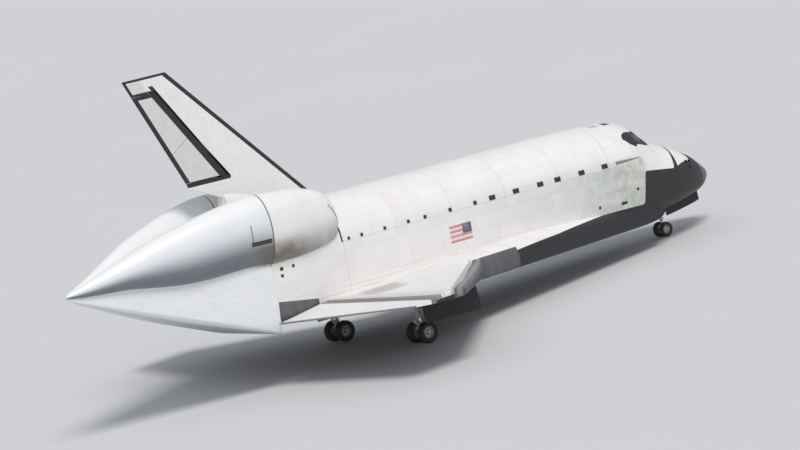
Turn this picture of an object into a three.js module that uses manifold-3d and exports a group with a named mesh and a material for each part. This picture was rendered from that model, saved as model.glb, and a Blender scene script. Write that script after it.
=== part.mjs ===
// Space shuttle orbiter on its landing gear, with the smooth tail cone of a ferry flight.
// Half-scale model: one inch of the orbiter is 12.7 mm here.
//
// The airframe is laid out in orbiter stations, in inches: X runs aft from ahead of the nose,
// Y to port and Z up. The finished group has +X forward, +Y to port and +Z up, in millimetres,
// with its origin on the ground under the middle of its bounding box.

import * as THREE from 'three';
import Module from 'manifold-3d';
import { mergeVertices } from 'three/addons/utils/BufferGeometryUtils.js';
import { LoftGeometry } from 'three/addons/geometries/LoftGeometry.js';

const wasm = await Module();
wasm.setup();

// Driving dimensions, in inches of the full-size orbiter unless a name says otherwise
const MODEL_SCALE = 0.5;
const IN = 25.4 * MODEL_SCALE;
const X_MIDDLE = 1082;
const GROUND_PITCH_DEG = 3.5;
const SEAM = 0.03;
const MOVING_GAP = 0.55;

const X_NOSE_CAP = 288;
const X_RCS_MODULE = 398;
const X_BAY_FRONT = 582;
const X_BAY_BACK = 1307;
const X_BASE = 1496;
const Z_CABIN_DECK = 352;
const BODY_HALF_POINTS = 20;
const CABIN_WALL = 5;

const BAY_RADIUS = 90;
const Z_BAY_CENTRE = 400;
const Z_DOOR_HINGE = 410;
const DOOR_THICKNESS = 5;
const RADIATOR_THICKNESS = 1.6;
const DOOR_HINGE_X = [595, 660, 727, 775, 842, 907, 954, 1021.5, 1089, 1133.5, 1196, 1257, 1291];

const X_ELEVON_HINGE = 1387;
const Y_TIP = 468.34;
const Y_ELEVON_INNER = 110.6;
const Y_ELEVON_SPLIT = 312;
const ELEVON_UP_DEG = 37;
const ELEVON_DOWN_DEG = 22;
const ELEVON_REACH = 60;

const Z_RUDDER_BOTTOM = 587;
const Z_RUDDER_TOP = 788;
const Z_FIN_ROOT = 494;
const Z_FIN_TIP = 818.7;
const RUDDER_GAP_BELOW = 3;
const RUDDER_GAP_ABOVE = 4.9;
const X_AFT_OF_ALL = 1760;

const MAIN_AXLE = { X: 1172, Y: 136, Z: 193, tyreRadius: 22.25, tyreWidth: 16, spacing: 37 };
const NOSE_AXLE = { X: 377, Y: 0, tyreRadius: 16, tyreWidth: 8.8, spacing: 22 };
const WHEEL_SEGMENTS = 24;

const NOSE_WELL = { x0: 282, x1: 382.5, y1: 20, zTop: 336 };
const MAIN_WELL = { x0: 1040, x1: 1192, y0: 110, y1: 166, zTop: 312 };
const NOSE_DOOR = { x0: 284, x1: 381, drop: 20, leanDeg: 8, thickness: 1.5 };
const MAIN_DOOR = { x0: 1042, x1: 1190, drop: 56, leanDeg: 12, thickness: 2 };

// Cross-sections of the fuselage. Each half is a superellipse: |y/w|^n + |z/h|^n = 1
// Columns: X, z of the bottom, z of greatest width, z of the top, half-width, n above, n below
const BODY = [
	[ 238.2, 329, 332, 335, 4, 2, 2 ],
	[ 240.5, 324, 332, 339.5, 10, 2, 2 ],
	[ 246, 317, 332, 345, 19, 2, 2 ],
	[ 254, 310.5, 331, 350, 28, 2, 2 ],
	[ 264, 305, 331, 358, 37.5, 2, 2 ],
	[ 276, 300.5, 330, 367.5, 47, 2, 2.1 ],
	[ 290, 297, 330, 379, 56, 2, 2.2 ],
	[ 308, 294, 331, 389.5, 65, 2, 2.3 ],
	[ 332, 290.5, 334, 400.5, 74.5, 2, 2.5 ],
	[ 362, 286.5, 339, 414.5, 83, 1.95, 2.7 ],
	[ 396, 283, 347, 428, 90, 1.85, 3 ],
	[ 408, 282, 350, 434, 91.8, 1.75, 3.1 ],
	[ 425, 280, 355, 452, 94, 1.65, 3.3 ],
	[ 443, 278.5, 361, 469, 96.5, 1.65, 3.6 ],
	[ 460, 277, 367, 479.5, 98.3, 1.75, 4 ],
	[ 480, 275.5, 375, 487, 100, 1.95, 4.5 ],
	[ 505, 273.5, 384, 491.5, 101.8, 2.1, 5.2 ],
	[ 540, 271.5, 394, 492, 103.2, 2.15, 6.5 ],
	[ 582, 270, 402, 494, 104, 2.1, 8.5 ],
	[ 660, 268.5, 404, 495.5, 104, 2.1, 12 ],
	[ 780, 267.5, 405, 496, 104, 2.1, 16 ],
	[ 1307, 267, 405, 496, 104, 2.1, 16 ],
	[ 1400, 270, 405, 497, 104.5, 2.2, 14 ],
	[ 1496, 281, 405, 498, 105, 2.3, 12 ],
];

// Orbital manoeuvring pods. Columns: X, y of the centre, z of the centre, half-width, half-height
const POD = [
	[ 1308.2, 84, 455, 12, 15 ],
	[ 1312, 84, 457, 21, 31 ],
	[ 1320, 84, 461, 29, 45 ],
	[ 1332, 84, 464, 35, 54 ],
	[ 1350, 84, 466, 39, 61 ],
	[ 1375, 84, 468, 42, 66.5 ],
	[ 1420, 84.5, 470, 45, 72 ],
	[ 1496, 85, 472, 46.2, 75 ],
];

// Tail cone. Columns: X, z of the belly, half-width of the flat sides, z of the valley,
// then each hump: y of the centre, z of the centre, half-width, half-height
const CONE = [
	[ 1496, 262, 106, 499, 85, 472, 46.2, 75 ],
	[ 1520, 270, 101.5, 499, 82.5, 474, 45.6, 72.5 ],
	[ 1560, 283.5, 91.5, 500, 76, 472, 43.5, 70 ],
	[ 1620, 304, 76.5, 496, 66, 466.5, 40, 65.5 ],
	[ 1680, 324.5, 61.5, 489, 55, 460.5, 36, 57.5 ],
	[ 1740, 347, 46.5, 477, 42, 456.5, 31, 46 ],
	[ 1800, 371, 31.5, 461, 28, 450, 24, 31 ],
	[ 1860, 396, 16.5, 445, 14, 440, 15, 18 ],
	[ 1900, 414, 7, 437, 5.5, 434.5, 8.5, 9.5 ],
	[ 1926, 428, 2, 435, 1, 432, 3, 3 ],
];
const CONE_WALL = 3;

// Wing. Columns: Y, X of the leading edge, z there, z of the flat underside, z of the crown
const leadingEdge = ( Y ) => Math.min( 500 + 6.3138 * ( Y - 105 ), 835.7 + Y );
const WING = [
	[ 96, 500 + 6.3138 * ( 96 - 105 ), 291, 268, 325 ],
	[ 140, 500 + 6.3138 * ( 140 - 105 ), 290, 269, 324 ],
	[ 188, leadingEdge( 188 ), 291, 270, 322.5 ],
	[ 312, leadingEdge( 312 ), 300, 283, 321 ],
	[ Y_TIP, leadingEdge( Y_TIP ), 313, 302.5, 321.5 ],
];

// Wing section from the leading edge to the elevon hinge
// Columns: chord fraction, rise to the crown, drop to the underside, blend into the hinge
const AIRFOIL = [
	[ 0, 0, 0, 0 ],
	[ 0.004, 0.17, 0.3, 0 ],
	[ 0.012, 0.29, 0.5, 0 ],
	[ 0.03, 0.44, 0.72, 0 ],
	[ 0.07, 0.61, 0.88, 0 ],
	[ 0.14, 0.78, 0.97, 0 ],
	[ 0.25, 0.92, 1, 0 ],
	[ 0.4, 1, 1, 0 ],
	[ 0.6, 1, 1, 0.22 ],
	[ 0.8, 1, 1, 0.58 ],
	[ 1, 1, 1, 1 ],
];

// Airframe point in millimetres from orbiter stations
const P = ( X, Y, Z ) => new THREE.Vector3( ( X_MIDDLE - X ) * IN, Y * IN, Z * IN );
const mix = ( a, b, t ) => a + ( b - a ) * t;
const rad = THREE.MathUtils.degToRad;

// Solids and their joining and cutting

function solidFrom( geometry ) {

	const source = new THREE.BufferGeometry();
	source.setAttribute( 'position', geometry.attributes.position );
	source.setIndex( geometry.index );
	const merged = mergeVertices( source, 1e-4 );
	return new wasm.Manifold( new wasm.Mesh( {
		numProp: 3,
		vertProperties: Float32Array.from( merged.attributes.position.array ),
		triVerts: Uint32Array.from( merged.index.array ),
	} ) );

}

function geometryFrom( solid ) {

	const mesh = solid.simplify( 0.02 ).getMesh();
	const geometry = new THREE.BufferGeometry();
	const positions = Float32Array.from( mesh.vertProperties );
	geometry.setAttribute( 'position', new THREE.BufferAttribute( positions, 3 ) );
	geometry.setIndex( Array.from( mesh.triVerts ) );
	geometry.computeVertexNormals();
	return geometry;

}

// Skin through rings of points, which may wind either way, with flat ends
function loft( rings ) {

	const [ first, second ] = rings;
	const travel = new THREE.Vector3();
	const winding = new THREE.Vector3();
	first.forEach( ( point, k ) => {

		const next = first[ ( k + 1 ) % first.length ].clone().sub( first[ 0 ] );
		winding.add( new THREE.Vector3().crossVectors( point.clone().sub( first[ 0 ] ), next ) );
		travel.add( second[ k ] ).sub( point );

	} );
	const ordered = winding.dot( travel ) > 0 ? rings : rings.map( ( ring ) => ring.slice().reverse() );
	return solidFrom( new LoftGeometry( ordered, { capStart: true, capEnd: true } ) );

}

const prism = ( points, toPoint, from, to ) => loft( [ from, to ].map(
	( level ) => points.map( ( [ u, v ] ) => toPoint( u, v, level ) ) ) );
const prismZ = ( points, z0, z1 ) => prism( points, ( X, Y, Z ) => P( X, Y, Z ), z0, z1 );
const prismY = ( points, y0, y1 ) => prism( points, ( X, Z, Y ) => P( X, Y, Z ), y0, y1 );
const box = ( x0, x1, y0, y1, z0, z1 ) =>
	prismZ( [ [ x0, y0 ], [ x1, y0 ], [ x1, y1 ], [ x0, y1 ] ], z0, z1 );

// Round bar between two points, radii in inches
function rod( start, end, r0, r1 = r0, segments = 16 ) {

	const axis = end.clone().sub( start ).normalize();
	const side = Math.abs( axis.z ) < 0.9 ? new THREE.Vector3( 0, 0, 1 ) : new THREE.Vector3( 1, 0, 0 );
	const u = new THREE.Vector3().crossVectors( axis, side ).normalize();
	const v = new THREE.Vector3().crossVectors( axis, u );
	return loft( [ [ start, r0 ], [ end, r1 ] ].map( ( [ centre, radius ] ) =>
		Array.from( { length: segments }, ( _, k ) => {

			const angle = 2 * Math.PI * ( k + 0.5 ) / segments;
			return centre.clone().addScaledVector( u, radius * IN * Math.cos( angle ) )
				.addScaledVector( v, radius * IN * Math.sin( angle ) );

		} ) ) );

}

const join = ( ...solids ) => solids.reduce( ( a, b ) => a.add( b ) );

// Exact mirror image on the other side of the plane of symmetry
function otherSide( solid ) {

	const mesh = solid.getMesh();
	const flip = new THREE.Matrix4().makeScale( 1, - 1, 1 );
	const geometry = new THREE.BufferGeometry();
	const positions = Float32Array.from( mesh.vertProperties );
	geometry.setAttribute( 'position', new THREE.BufferAttribute( positions, 3 ) );
	geometry.setIndex( Array.from( mesh.triVerts ).reverse() );
	return solidFrom( geometry.applyMatrix4( flip ) );

}

// Fuselage

function ellipsePoint( angle, centreY, centreZ, halfWidth, halfHeight, power ) {

	const part = ( value ) => Math.abs( value ) < 1e-9
		? 0 : Math.sign( value ) * Math.abs( value ) ** ( 2 / power );
	const Y = centreY + halfWidth * part( Math.cos( angle ) );
	const Z = centreZ + halfHeight * part( Math.sin( angle ) );
	return [ Y, Z ];

}

// Port half of a fuselage section, from the keel to the crown
function bodyRing( [ X, zBottom, zMid, zTop, halfWidth, above, below ], inset ) {

	return Array.from( { length: BODY_HALF_POINTS + 1 }, ( _, k ) => {

		const angle = Math.PI * ( k / BODY_HALF_POINTS ) - Math.PI / 2;
		const up = k > BODY_HALF_POINTS / 2;
		const height = ( up ? zTop - zMid : zMid - zBottom ) - inset;
		const [ Y, Z ] = ellipsePoint( angle, 0, zMid, halfWidth - inset, height, up ? above : below );
		return P( X, Y, Z );

	} );

}

function bodyLoft( inset ) {

	const rows = BODY.filter( ( row ) => row[ 3 ] - row[ 2 ] > inset + 1 && row[ 4 ] > inset + 1 );
	const half = loft( rows.map( ( row ) => bodyRing( row, inset ) ) );
	return half.add( otherSide( half ) );

}

// Section of the fuselage at any station, between the rows of the table
function bodyRow( X ) {

	const after = BODY.findIndex( ( row ) => row[ 0 ] >= X );
	const [ a, b ] = [ BODY[ after - 1 ], BODY[ after ] ];
	const t = ( X - a[ 0 ] ) / ( b[ 0 ] - a[ 0 ] );
	return a.map( ( value, i ) => mix( value, b[ i ], t ) );

}

// Height of the fuselage's upper skin at X and Y
function bodyTop( X, Y ) {

	const [ , , zMid, zTop, halfWidth, above ] = bodyRow( X );
	return zMid + ( zTop - zMid ) * ( 1 - Math.abs( Y / halfWidth ) ** above ) ** ( 1 / above );

}

// Distance of the fuselage's side skin from the plane of symmetry at X and Z
function bodySide( X, Z ) {

	const [ , zBottom, zMid, zTop, halfWidth, above, below ] = bodyRow( X );
	const power = Z > zMid ? above : below;
	const height = Z > zMid ? zTop - zMid : zMid - zBottom;
	return halfWidth * ( 1 - Math.abs( ( Z - zMid ) / height ) ** power ) ** ( 1 / power );

}

// Height of the fuselage's underside at X and Y
function bodyBottom( X, Y ) {

	const [ , zBottom, zMid, , halfWidth, , below ] = bodyRow( X );
	return zMid - ( zMid - zBottom ) * ( 1 - Math.abs( Y / halfWidth ) ** below ) ** ( 1 / below );

}

const body = bodyLoft( 0 );
const bodyGrown = bodyLoft( - SEAM );

const aheadOfNose = 200;
const wide = 130;
const high = 560;
const low = 240;
const slab = ( x0, x1, z0 = low, z1 = high ) => box( x0, x1, - wide, wide, z0, z1 );

function noseCap() {

	return body.intersect( slab( aheadOfNose, X_NOSE_CAP ) );

}

function noseWell() {

	return box( NOSE_WELL.x0, NOSE_WELL.x1, - NOSE_WELL.y1, NOSE_WELL.y1, low, NOSE_WELL.zTop );

}

// Mouths of the control jets in the upper skin. Columns: X, Y, then how far the jet points
// forward and up, radius
const TOP_JETS = [
	[ 306, 0, 0.75, 0.66, 3.8 ],
	[ 306, 11, 0.75, 0.66, 3.8 ],
	[ 306, - 11, 0.75, 0.66, 3.8 ],
	[ 371, 0, 0, 1, 4.2 ],
	[ 371, 12.5, 0, 1, 4.2 ],
	[ 371, - 12.5, 0, 1, 4.2 ],
];
// Mouths in each side. Columns: X, Z, then how far the jet points outward and up, radius
const SIDE_JETS = [
	[ 322, 371, 1, 0.12, 4.2 ],
	[ 336, 373, 1, 0.12, 4.2 ],
	[ 332, 360, 0.8, - 0.6, 4 ],
];
const JET_DEPTH = 6;

function jetMouth( mouth, ahead, outward, up, radius ) {

	const direction = new THREE.Vector3( ahead, outward, up ).normalize().multiplyScalar( JET_DEPTH * IN );
	return rod( mouth.clone().sub( direction ), mouth.clone().add( direction ), radius );

}

function reactionJetModule() {

	const shell = body.intersect( slab( X_NOSE_CAP + SEAM, X_RCS_MODULE - SEAM, Z_CABIN_DECK + SEAM ) );
	const top = TOP_JETS.map( ( [ X, Y, ahead, up, radius ] ) =>
		jetMouth( P( X, Y, bodyTop( X, Y ) ), ahead, 0, up, radius ) );
	const port = SIDE_JETS.map( ( [ X, Z, outward, up, radius ] ) =>
		jetMouth( P( X, bodySide( X, Z ), Z ), 0, outward, up, radius ) );
	return [ ...top, ...port, ...port.map( otherSide ) ].reduce( ( a, b ) => a.subtract( b ), shell );

}

// The forward attachment is a round boss just behind the nose wheel well
function forwardAttachBoss() {

	return rod( P( 388.15, 0, 282 ), P( 388.15, 0, 300 ), 4, 4, 20 );

}

function forwardLower() {

	const shell = body.intersect( slab( X_NOSE_CAP + SEAM, X_BAY_FRONT - SEAM, low, Z_CABIN_DECK ) );
	return shell.subtract( noseWell() ).add( forwardAttachBoss() );

}

// Window frames on the upper skin: the outward normal and two edge directions at X and Y
function skinFrame( X, Y ) {

	const step = 2;
	const onSkin = ( x, y ) => P( x, y, bodyTop( x, y ) );
	const here = onSkin( X, Y );
	const alongX = onSkin( X + step, Y ).sub( onSkin( X - step, Y ) );
	const alongY = onSkin( X, Y + step ).sub( onSkin( X, Y - step ) );
	const normal = new THREE.Vector3().crossVectors( alongY, alongX ).normalize();
	if ( normal.z < 0 ) normal.negate();
	const across = alongY.normalize();
	const along = new THREE.Vector3().crossVectors( normal, across );
	return { here, normal, across, along };

}

// Columns: name, X, Y, width across, length along, lean of the side edges
const WINDOWS = [
	[ 'windshield_forward', 430, 13.8, 23.4, 34, - 0.2 ],
	[ 'windshield_middle', 439, 40, 22, 32, - 0.22 ],
	[ 'windshield_side', 466, 62.5, 20, 28, - 0.02 ],
	[ 'overhead_window', 506, 19, 20, 20, 0 ],
];

function windowPrism( [ , X, Y, width, length, lean ], inner, outer, shrink ) {

	const { here, normal, across, along } = skinFrame( X, Y );
	const halfWidth = width / 2 - shrink;
	const halfLength = length / 2 - shrink;
	const corners = [ [ - 1, - 1 ], [ 1, - 1 ], [ 1, 1 ], [ - 1, 1 ] ].map( ( [ a, b ] ) =>
		here.clone().addScaledVector( across, ( a * halfWidth + lean * b * halfLength ) * IN )
			.addScaledVector( along, b * halfLength * IN ) );
	return loft( [ inner, outer ].map( ( level ) =>
		corners.map( ( corner ) => corner.clone().addScaledVector( normal, level * IN ) ) ) );

}

const windowPane = ( row ) => windowPrism( row, - 2.6, - 1.2, SEAM );

const mirrorY = ( row ) => [ row[ 0 ], row[ 1 ], - row[ 2 ], row[ 3 ], row[ 4 ], - row[ 5 ] ];

const HATCH = { X: 513, Z: 376, hole: 20, radius: 19, window: 5, hingeY: 103.5, hingeZ: 355.4 };

// Round bar straight out through the port side at X and Z
const acrossSide = ( X, Z, from, radius, segments ) =>
	rod( P( X, from, Z ), P( X, 120, Z ), radius, radius, segments );

function cabinSpace() {

	const space = slab( X_RCS_MODULE + 5, X_BAY_FRONT - 8, Z_CABIN_DECK - 20 );
	return bodyLoft( CABIN_WALL ).intersect( space );

}

function forwardUpper() {

	const shell = body.intersect( slab( X_RCS_MODULE, X_BAY_FRONT - SEAM, Z_CABIN_DECK + SEAM ) );
	const hatchHole = acrossSide( HATCH.X, HATCH.Z, 60, HATCH.hole, 32 );
	let cut = shell.subtract( cabinSpace() ).subtract( hatchHole );
	for ( const row of WINDOWS ) {

		cut = cut.subtract( windowPrism( row, - 16, 10, 0 ) );
		cut = cut.subtract( windowPrism( mirrorY( row ), - 16, 10, 0 ) );

	}

	const aftWindow = ( y ) => box( 570, 586, y - 7, y + 7, 448, 466 );
	return cut.subtract( aftWindow( 13 ) ).subtract( aftWindow( - 13 ) );

}

function sideHatch() {

	const plug = acrossSide( HATCH.X, HATCH.Z, 60, HATCH.radius, 32 );
	const panel = body.subtract( bodyLoft( CABIN_WALL - 1 ) ).intersect( plug );
	const [ x, y, z ] = [ HATCH.X, HATCH.hingeY, HATCH.hingeZ ];
	const lug = ( side ) => join(
		box( x + side - 1.5, x + side + 1.5, y - 0.7, y + 0.7, z - 0.8, z + 8 ),
		box( x + side - 1.5, x + side + 1.5, y - 3, y, z + 3.6, z + 8 ) );
	const port = acrossSide( HATCH.X, HATCH.Z, 90, HATCH.window, 20 );
	return panel.subtract( port ).add( lug( - 6 ) ).add( lug( 6 ) );

}

const FLIGHT_DECK = { top: 419, thickness: 3, front: 430 };

function flightDeck() {

	const { top, thickness, front } = FLIGHT_DECK;
	const deck = slab( front, X_BAY_FRONT - 8 - SEAM, top - thickness, top );
	const ladderWay = box( 530, 560, 22, 50, top - 20, top + 10 );
	return bodyLoft( CABIN_WALL + SEAM ).intersect( deck ).subtract( ladderWay );

}

function instrumentPanel() {

	const z = FLIGHT_DECK.top + SEAM;
	return prismY( [ [ 444, z ], [ 452, z ], [ 462, z + 10 ], [ 456, z + 26 ], [ 449, z + 26 ] ], - 36, 36 );

}

function seat( y ) {

	const z = FLIGHT_DECK.top + SEAM;
	const side = [ [ 484, z ], [ 508, z ], [ 508, z + 12 ], [ 512, z + 46 ], [ 507, z + 46 ],
		[ 503, z + 17 ], [ 484, z + 16 ] ];
	return prismY( side, y - 9, y + 9 );

}

function midFuselage() {

	const shell = body.intersect( slab( X_BAY_FRONT, X_BAY_BACK, low, Z_DOOR_HINGE - 0.4 ) );
	const [ front, back ] = [ X_BAY_FRONT - 22, X_BAY_BACK + 23 ];
	const bay = rod( P( front, 0, Z_BAY_CENTRE ), P( back, 0, Z_BAY_CENTRE ), BAY_RADIUS, BAY_RADIUS, 40 );
	const sill = box( front, back, - BAY_RADIUS, BAY_RADIUS, Z_BAY_CENTRE, 430 );
	return shell.subtract( join( bay, sill ) );

}

// Payload bay door on the port side, with its thirteen hinge fittings
function bayDoor() {

	const [ front, back ] = [ X_BAY_FRONT + MOVING_GAP, X_BAY_BACK - MOVING_GAP ];
	const region = box( front, back, 0.3, wide, Z_DOOR_HINGE + 1.2, high );
	const skin = body.subtract( bodyLoft( DOOR_THICKNESS ) ).intersect( region );
	return DOOR_HINGE_X.reduce( ( door, X, k ) => {

		const half = k < 6 ? 6 : 3.5;
		return door.add( box( X - half, X + half, 101, 105, Z_DOOR_HINGE + 0.4, Z_DOOR_HINGE + 9 ) );

	}, skin );

}

function radiator() {

	const clear = 0.6;
	const outer = DOOR_THICKNESS + clear;
	const region = box( 600, 1290, 8, wide, 425, high );
	const plate = bodyLoft( outer ).subtract( bodyLoft( outer + RADIATOR_THICKNESS ) ).intersect( region );
	const reach = bodyLoft( DOOR_THICKNESS + SEAM ).subtract( bodyLoft( outer + 0.5 ) );
	const lugs = [ 640, 850, 1040, 1250 ].flatMap( ( X ) => [ 20, 60 ].map( ( Y ) =>
		reach.intersect( box( X - 3, X + 3, Y - 3, Y + 3, 430, high ) ) ) );
	return join( plate, ...lugs );

}

// Round boss of the aft attachment, flush with the underside on the port side
const aftAttachBoss = ( radius ) =>
	rod( P( 1317, 96.5, 265.5 ), P( 1317, 96.5, 290 ), radius, radius, 20 );

function aftFuselage() {

	const shell = body.intersect( slab( X_BAY_BACK + SEAM, X_BASE - SEAM ) );
	const boss = aftAttachBoss( 5 );
	return join( shell, boss, otherSide( boss ) );

}

const lobeRing = ( X, y, z, halfWidth, halfHeight, points = 28 ) =>
	Array.from( { length: points }, ( _, k ) => {

		const [ Y, Z ] = ellipsePoint( 2 * Math.PI * k / points, y, z, halfWidth, halfHeight, 2 );
		return P( X, Y, Z );

	} );

function manoeuvringPod() {

	const pod = loft( POD.map( ( [ X, y, z, w, h ] ) => lobeRing( X, y, z, w, h ) ) );
	return pod.subtract( bodyGrown ).intersect( slab( aheadOfNose, X_BASE - SEAM ) );

}

// Tail cone: a flat-sided middle and a hump behind each pod, with everything drawn in by inset
function coneSolid( inset, front ) {

	const rows = CONE.map( ( row, k ) => k === 0 ? [ front, ...row.slice( 1 ) ] : row )
		.filter( ( row ) => row[ 2 ] > inset + 2 );
	const middle = loft( rows.map( ( [ X, zBelly, w, zValley, y ] ) => {

		const side = w - inset;
		const belly = zBelly + inset;
		const shoulder = Math.max( 416, belly + 1 );
		return [ [ - side * 0.96, belly ], [ side * 0.96, belly ], [ side, mix( belly, shoulder, 0.1 ) ],
			[ side, shoulder ], [ y * 0.95 - inset * 0.5, zValley - inset ],
			[ - y * 0.95 + inset * 0.5, zValley - inset ], [ - side, shoulder ],
			[ - side, mix( belly, shoulder, 0.1 ) ] ].map( ( [ Y, Z ] ) => P( X, Y, Z ) );

	} ) );
	const humpRows = CONE.map( ( row, k ) => k === 0 ? [ front, ...row.slice( 1 ) ] : row )
		.filter( ( row ) => row[ 6 ] > inset + 1 && row[ 7 ] > inset + 1 );
	const hump = loft( humpRows.map( ( [ X, , , , y, z, w, h ] ) =>
		lobeRing( X, y, z, w - inset, h - inset, 24 ) ) );
	return join( middle, hump, otherSide( hump ) );

}

function tailCone() {

	const outer = coneSolid( 0, X_BASE + SEAM );
	return outer.subtract( coneSolid( CONE_WALL, X_BASE - 10 ) );

}

function engineBlock() {

	return box( X_BASE + SEAM, 1600, - 56, 56, 318, 470 );

}

// Wing

const hingeZ = ( Y ) => 286 + ( Y - 105 ) * 0.0614;
const hingeRadius = ( Y ) => mix( 16.5, 5.2, ( Y - 105 ) / ( Y_TIP - 105 ) );
const hingeTilt = Math.atan( 0.0614 );
const elevonChord = ( Y ) => 1525 - 0.1773 * Y - X_ELEVON_HINGE;

function wingRing( [ Y, xLead, zLead, zUnder, zCrown ] ) {

	const surface = ( zFull, column, zHinge ) => AIRFOIL.map( ( row ) => {

		const X = mix( xLead, X_ELEVON_HINGE, row[ 0 ] );
		return P( X, Y, mix( mix( zLead, zFull, row[ column ] ), zHinge, row[ 3 ] ) );

	} );
	const upper = surface( zCrown, 1, hingeZ( Y ) + hingeRadius( Y ) );
	const lower = surface( zUnder, 2, hingeZ( Y ) - hingeRadius( Y ) );
	return [ ...upper.reverse(), ...lower.slice( 1 ) ];

}

// Point beside the elevon hinge line: aft of it and up from it, square to the line
const atHinge = ( Y, aft, up ) =>
	P( X_ELEVON_HINGE + aft, Y - up * Math.sin( hingeTilt ), hingeZ( Y ) + up * Math.cos( hingeTilt ) );

const alongHinge = ( y0, y1, points ) => loft( [ y0, y1 ].map( ( Y ) =>
	points( Y ).map( ( [ aft, up ] ) => atHinge( Y, aft, up ) ) ) );

function elevonCove() {

	const circle = ( Y ) => Array.from( { length: 40 }, ( _, k ) => {

		const angle = 2 * Math.PI * ( k + 0.5 ) / 40;
		const radius = hingeRadius( Y ) + MOVING_GAP;
		return [ radius * Math.cos( angle ), radius * Math.sin( angle ) ];

	} );
	const reach = ELEVON_REACH;
	const [ up, down ] = [ rad( ELEVON_UP_DEG ), rad( ELEVON_DOWN_DEG ) ];
	const wedge = () => [ [ 0, 0 ], [ - reach * Math.sin( up ), reach * Math.cos( up ) ],
		[ reach, reach ], [ reach, - reach ], [ - reach * Math.sin( down ), - reach * Math.cos( down ) ] ];
	return join( alongHinge( 85, Y_TIP + 12, circle ), alongHinge( 85, Y_TIP + 12, wedge ) );

}

function elevon( y0, y1 ) {

	const arcPoints = 12;
	const trailing = 0.9;
	return alongHinge( y0, y1, ( Y ) => {

		const r = hingeRadius( Y );
		const chord = elevonChord( Y );
		const drop = - 0.12 * r;
		const nose = Array.from( { length: arcPoints + 1 }, ( _, k ) => {

			const angle = Math.PI * ( 0.5 + k / arcPoints );
			return [ r * Math.cos( angle ), r * Math.sin( angle ) ];

		} );
		return [ ...nose, [ chord, drop - trailing ], [ chord, drop + trailing ] ];

	} );

}

// Plan of the reinforced leading edge, drawn back by a seam where the wing is cut
const edgePlan = ( seam ) => [ [ 915 - seam, 161 - seam ], [ 968 + seam, 170 - seam ],
	[ 1050 + seam, 183.5 - seam ], [ 1139 + seam, 275 - seam ], [ 1245 + seam, 387 - seam ],
	[ 1345 + seam, Y_TIP + 8 ], [ 1250, Y_TIP + 8 ], [ 960, 200 ], [ 915 - seam, 185 ] ];

function wholeWing() {

	const base = loft( WING.map( wingRing ) );
	const well = box( MAIN_WELL.x0, MAIN_WELL.x1, MAIN_WELL.y0, MAIN_WELL.y1, low, MAIN_WELL.zTop );
	const boss = aftAttachBoss( 5 + SEAM );
	return base.subtract( bodyGrown ).subtract( elevonCove() ).subtract( well ).subtract( boss );

}

const leadingEdgePiece = ( wing ) => wing.intersect( prismZ( edgePlan( 0 ), low, 360 ) );
const wingPiece = ( wing ) => wing.subtract( prismZ( edgePlan( SEAM * 1.5 ), low, 360 ) );

// Fin and rudder

const rudderHingeX = ( Z ) => 1498.3 + ( Z - Z_RUDDER_BOTTOM ) * 0.696;
const rudderShare = ( Z ) => ( Z - Z_RUDDER_BOTTOM ) / ( Z_RUDDER_TOP - Z_RUDDER_BOTTOM );
const rudderHingeRadius = ( Z ) => mix( 9.6, 5, rudderShare( Z ) );
const finTrailingX = ( Z ) => 1548.5 + ( Z - 503 ) * 0.4932;
const HINGE_LEAN = Math.atan( 0.696 );

function finRing( Z ) {

	const xLead = 1280 + ( Z - 503 );
	const xHinge = rudderHingeX( Z );
	const thick = rudderHingeRadius( Z );
	// Columns: fraction from leading edge to hinge, part of the full half-thickness
	const forward = [ [ 0.004, 0.1 ], [ 0.03, 0.3 ], [ 0.1, 0.52 ], [ 0.3, 0.8 ], [ 0.6, 0.96 ], [ 1, 1 ] ];
	const side = forward.map( ( [ f, t ] ) => [ mix( xLead, xHinge, f ), t * thick ] );
	side.push( [ finTrailingX( Z ), 0.7 ] );
	const port = side.map( ( [ X, Y ] ) => P( X, Y, Z ) );
	const starboard = side.map( ( [ X, Y ] ) => P( X, - Y, Z ) ).reverse();
	return [ P( xLead, 0, Z ), ...port, ...starboard ];

}

const finLoft = () => loft( [ Z_FIN_ROOT, Z_RUDDER_BOTTOM, Z_RUDDER_TOP, Z_FIN_TIP ].map( finRing ) );

const CHUTE = { x0: 1452, x1: 1512, zTop: 560 };

function chuteBulge() {

	// Columns: X, half-width, z of the middle, half-height
	const rows = [ [ 1400, 6, 505, 14 ], [ 1430, 14, 512, 26 ], [ 1470, 18, 516, 34 ], [ 1511, 18, 518, 36 ] ];
	return loft( rows.map( ( [ X, w, z, h ] ) => lobeRing( X, 0, z, w, h, 20 ) ) );

}

function finWithChute() {

	const undercut = prismY( [ [ 1512, 470 ], [ 1512, 546 ], [ 1580, 576.5 ], [ X_AFT_OF_ALL, 576.5 ],
		[ X_AFT_OF_ALL, 470 ] ], - 40, 40 );
	const clearance = ( Z ) =>
		rudderHingeX( Z ) - ( rudderHingeRadius( Z ) + MOVING_GAP ) / Math.cos( HINGE_LEAN );
	const rudderSpace = prismY( [ [ clearance( Z_RUDDER_BOTTOM ), Z_RUDDER_BOTTOM ],
		[ clearance( Z_RUDDER_TOP ), Z_RUDDER_TOP ], [ X_AFT_OF_ALL, Z_RUDDER_TOP ],
		[ X_AFT_OF_ALL, Z_RUDDER_BOTTOM ] ], - 40, 40 );
	return finLoft().add( chuteBulge() ).subtract( undercut ).subtract( rudderSpace ).subtract( bodyGrown );

}

const chuteRegion = ( grow ) => box( CHUTE.x0 - grow, 1700, - 40, 40, 400, CHUTE.zTop + grow );

// Point on the rudder hinge line at height Z
const onRudderHinge = ( Z ) => P( rudderHingeX( Z ), 0, Z );

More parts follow.
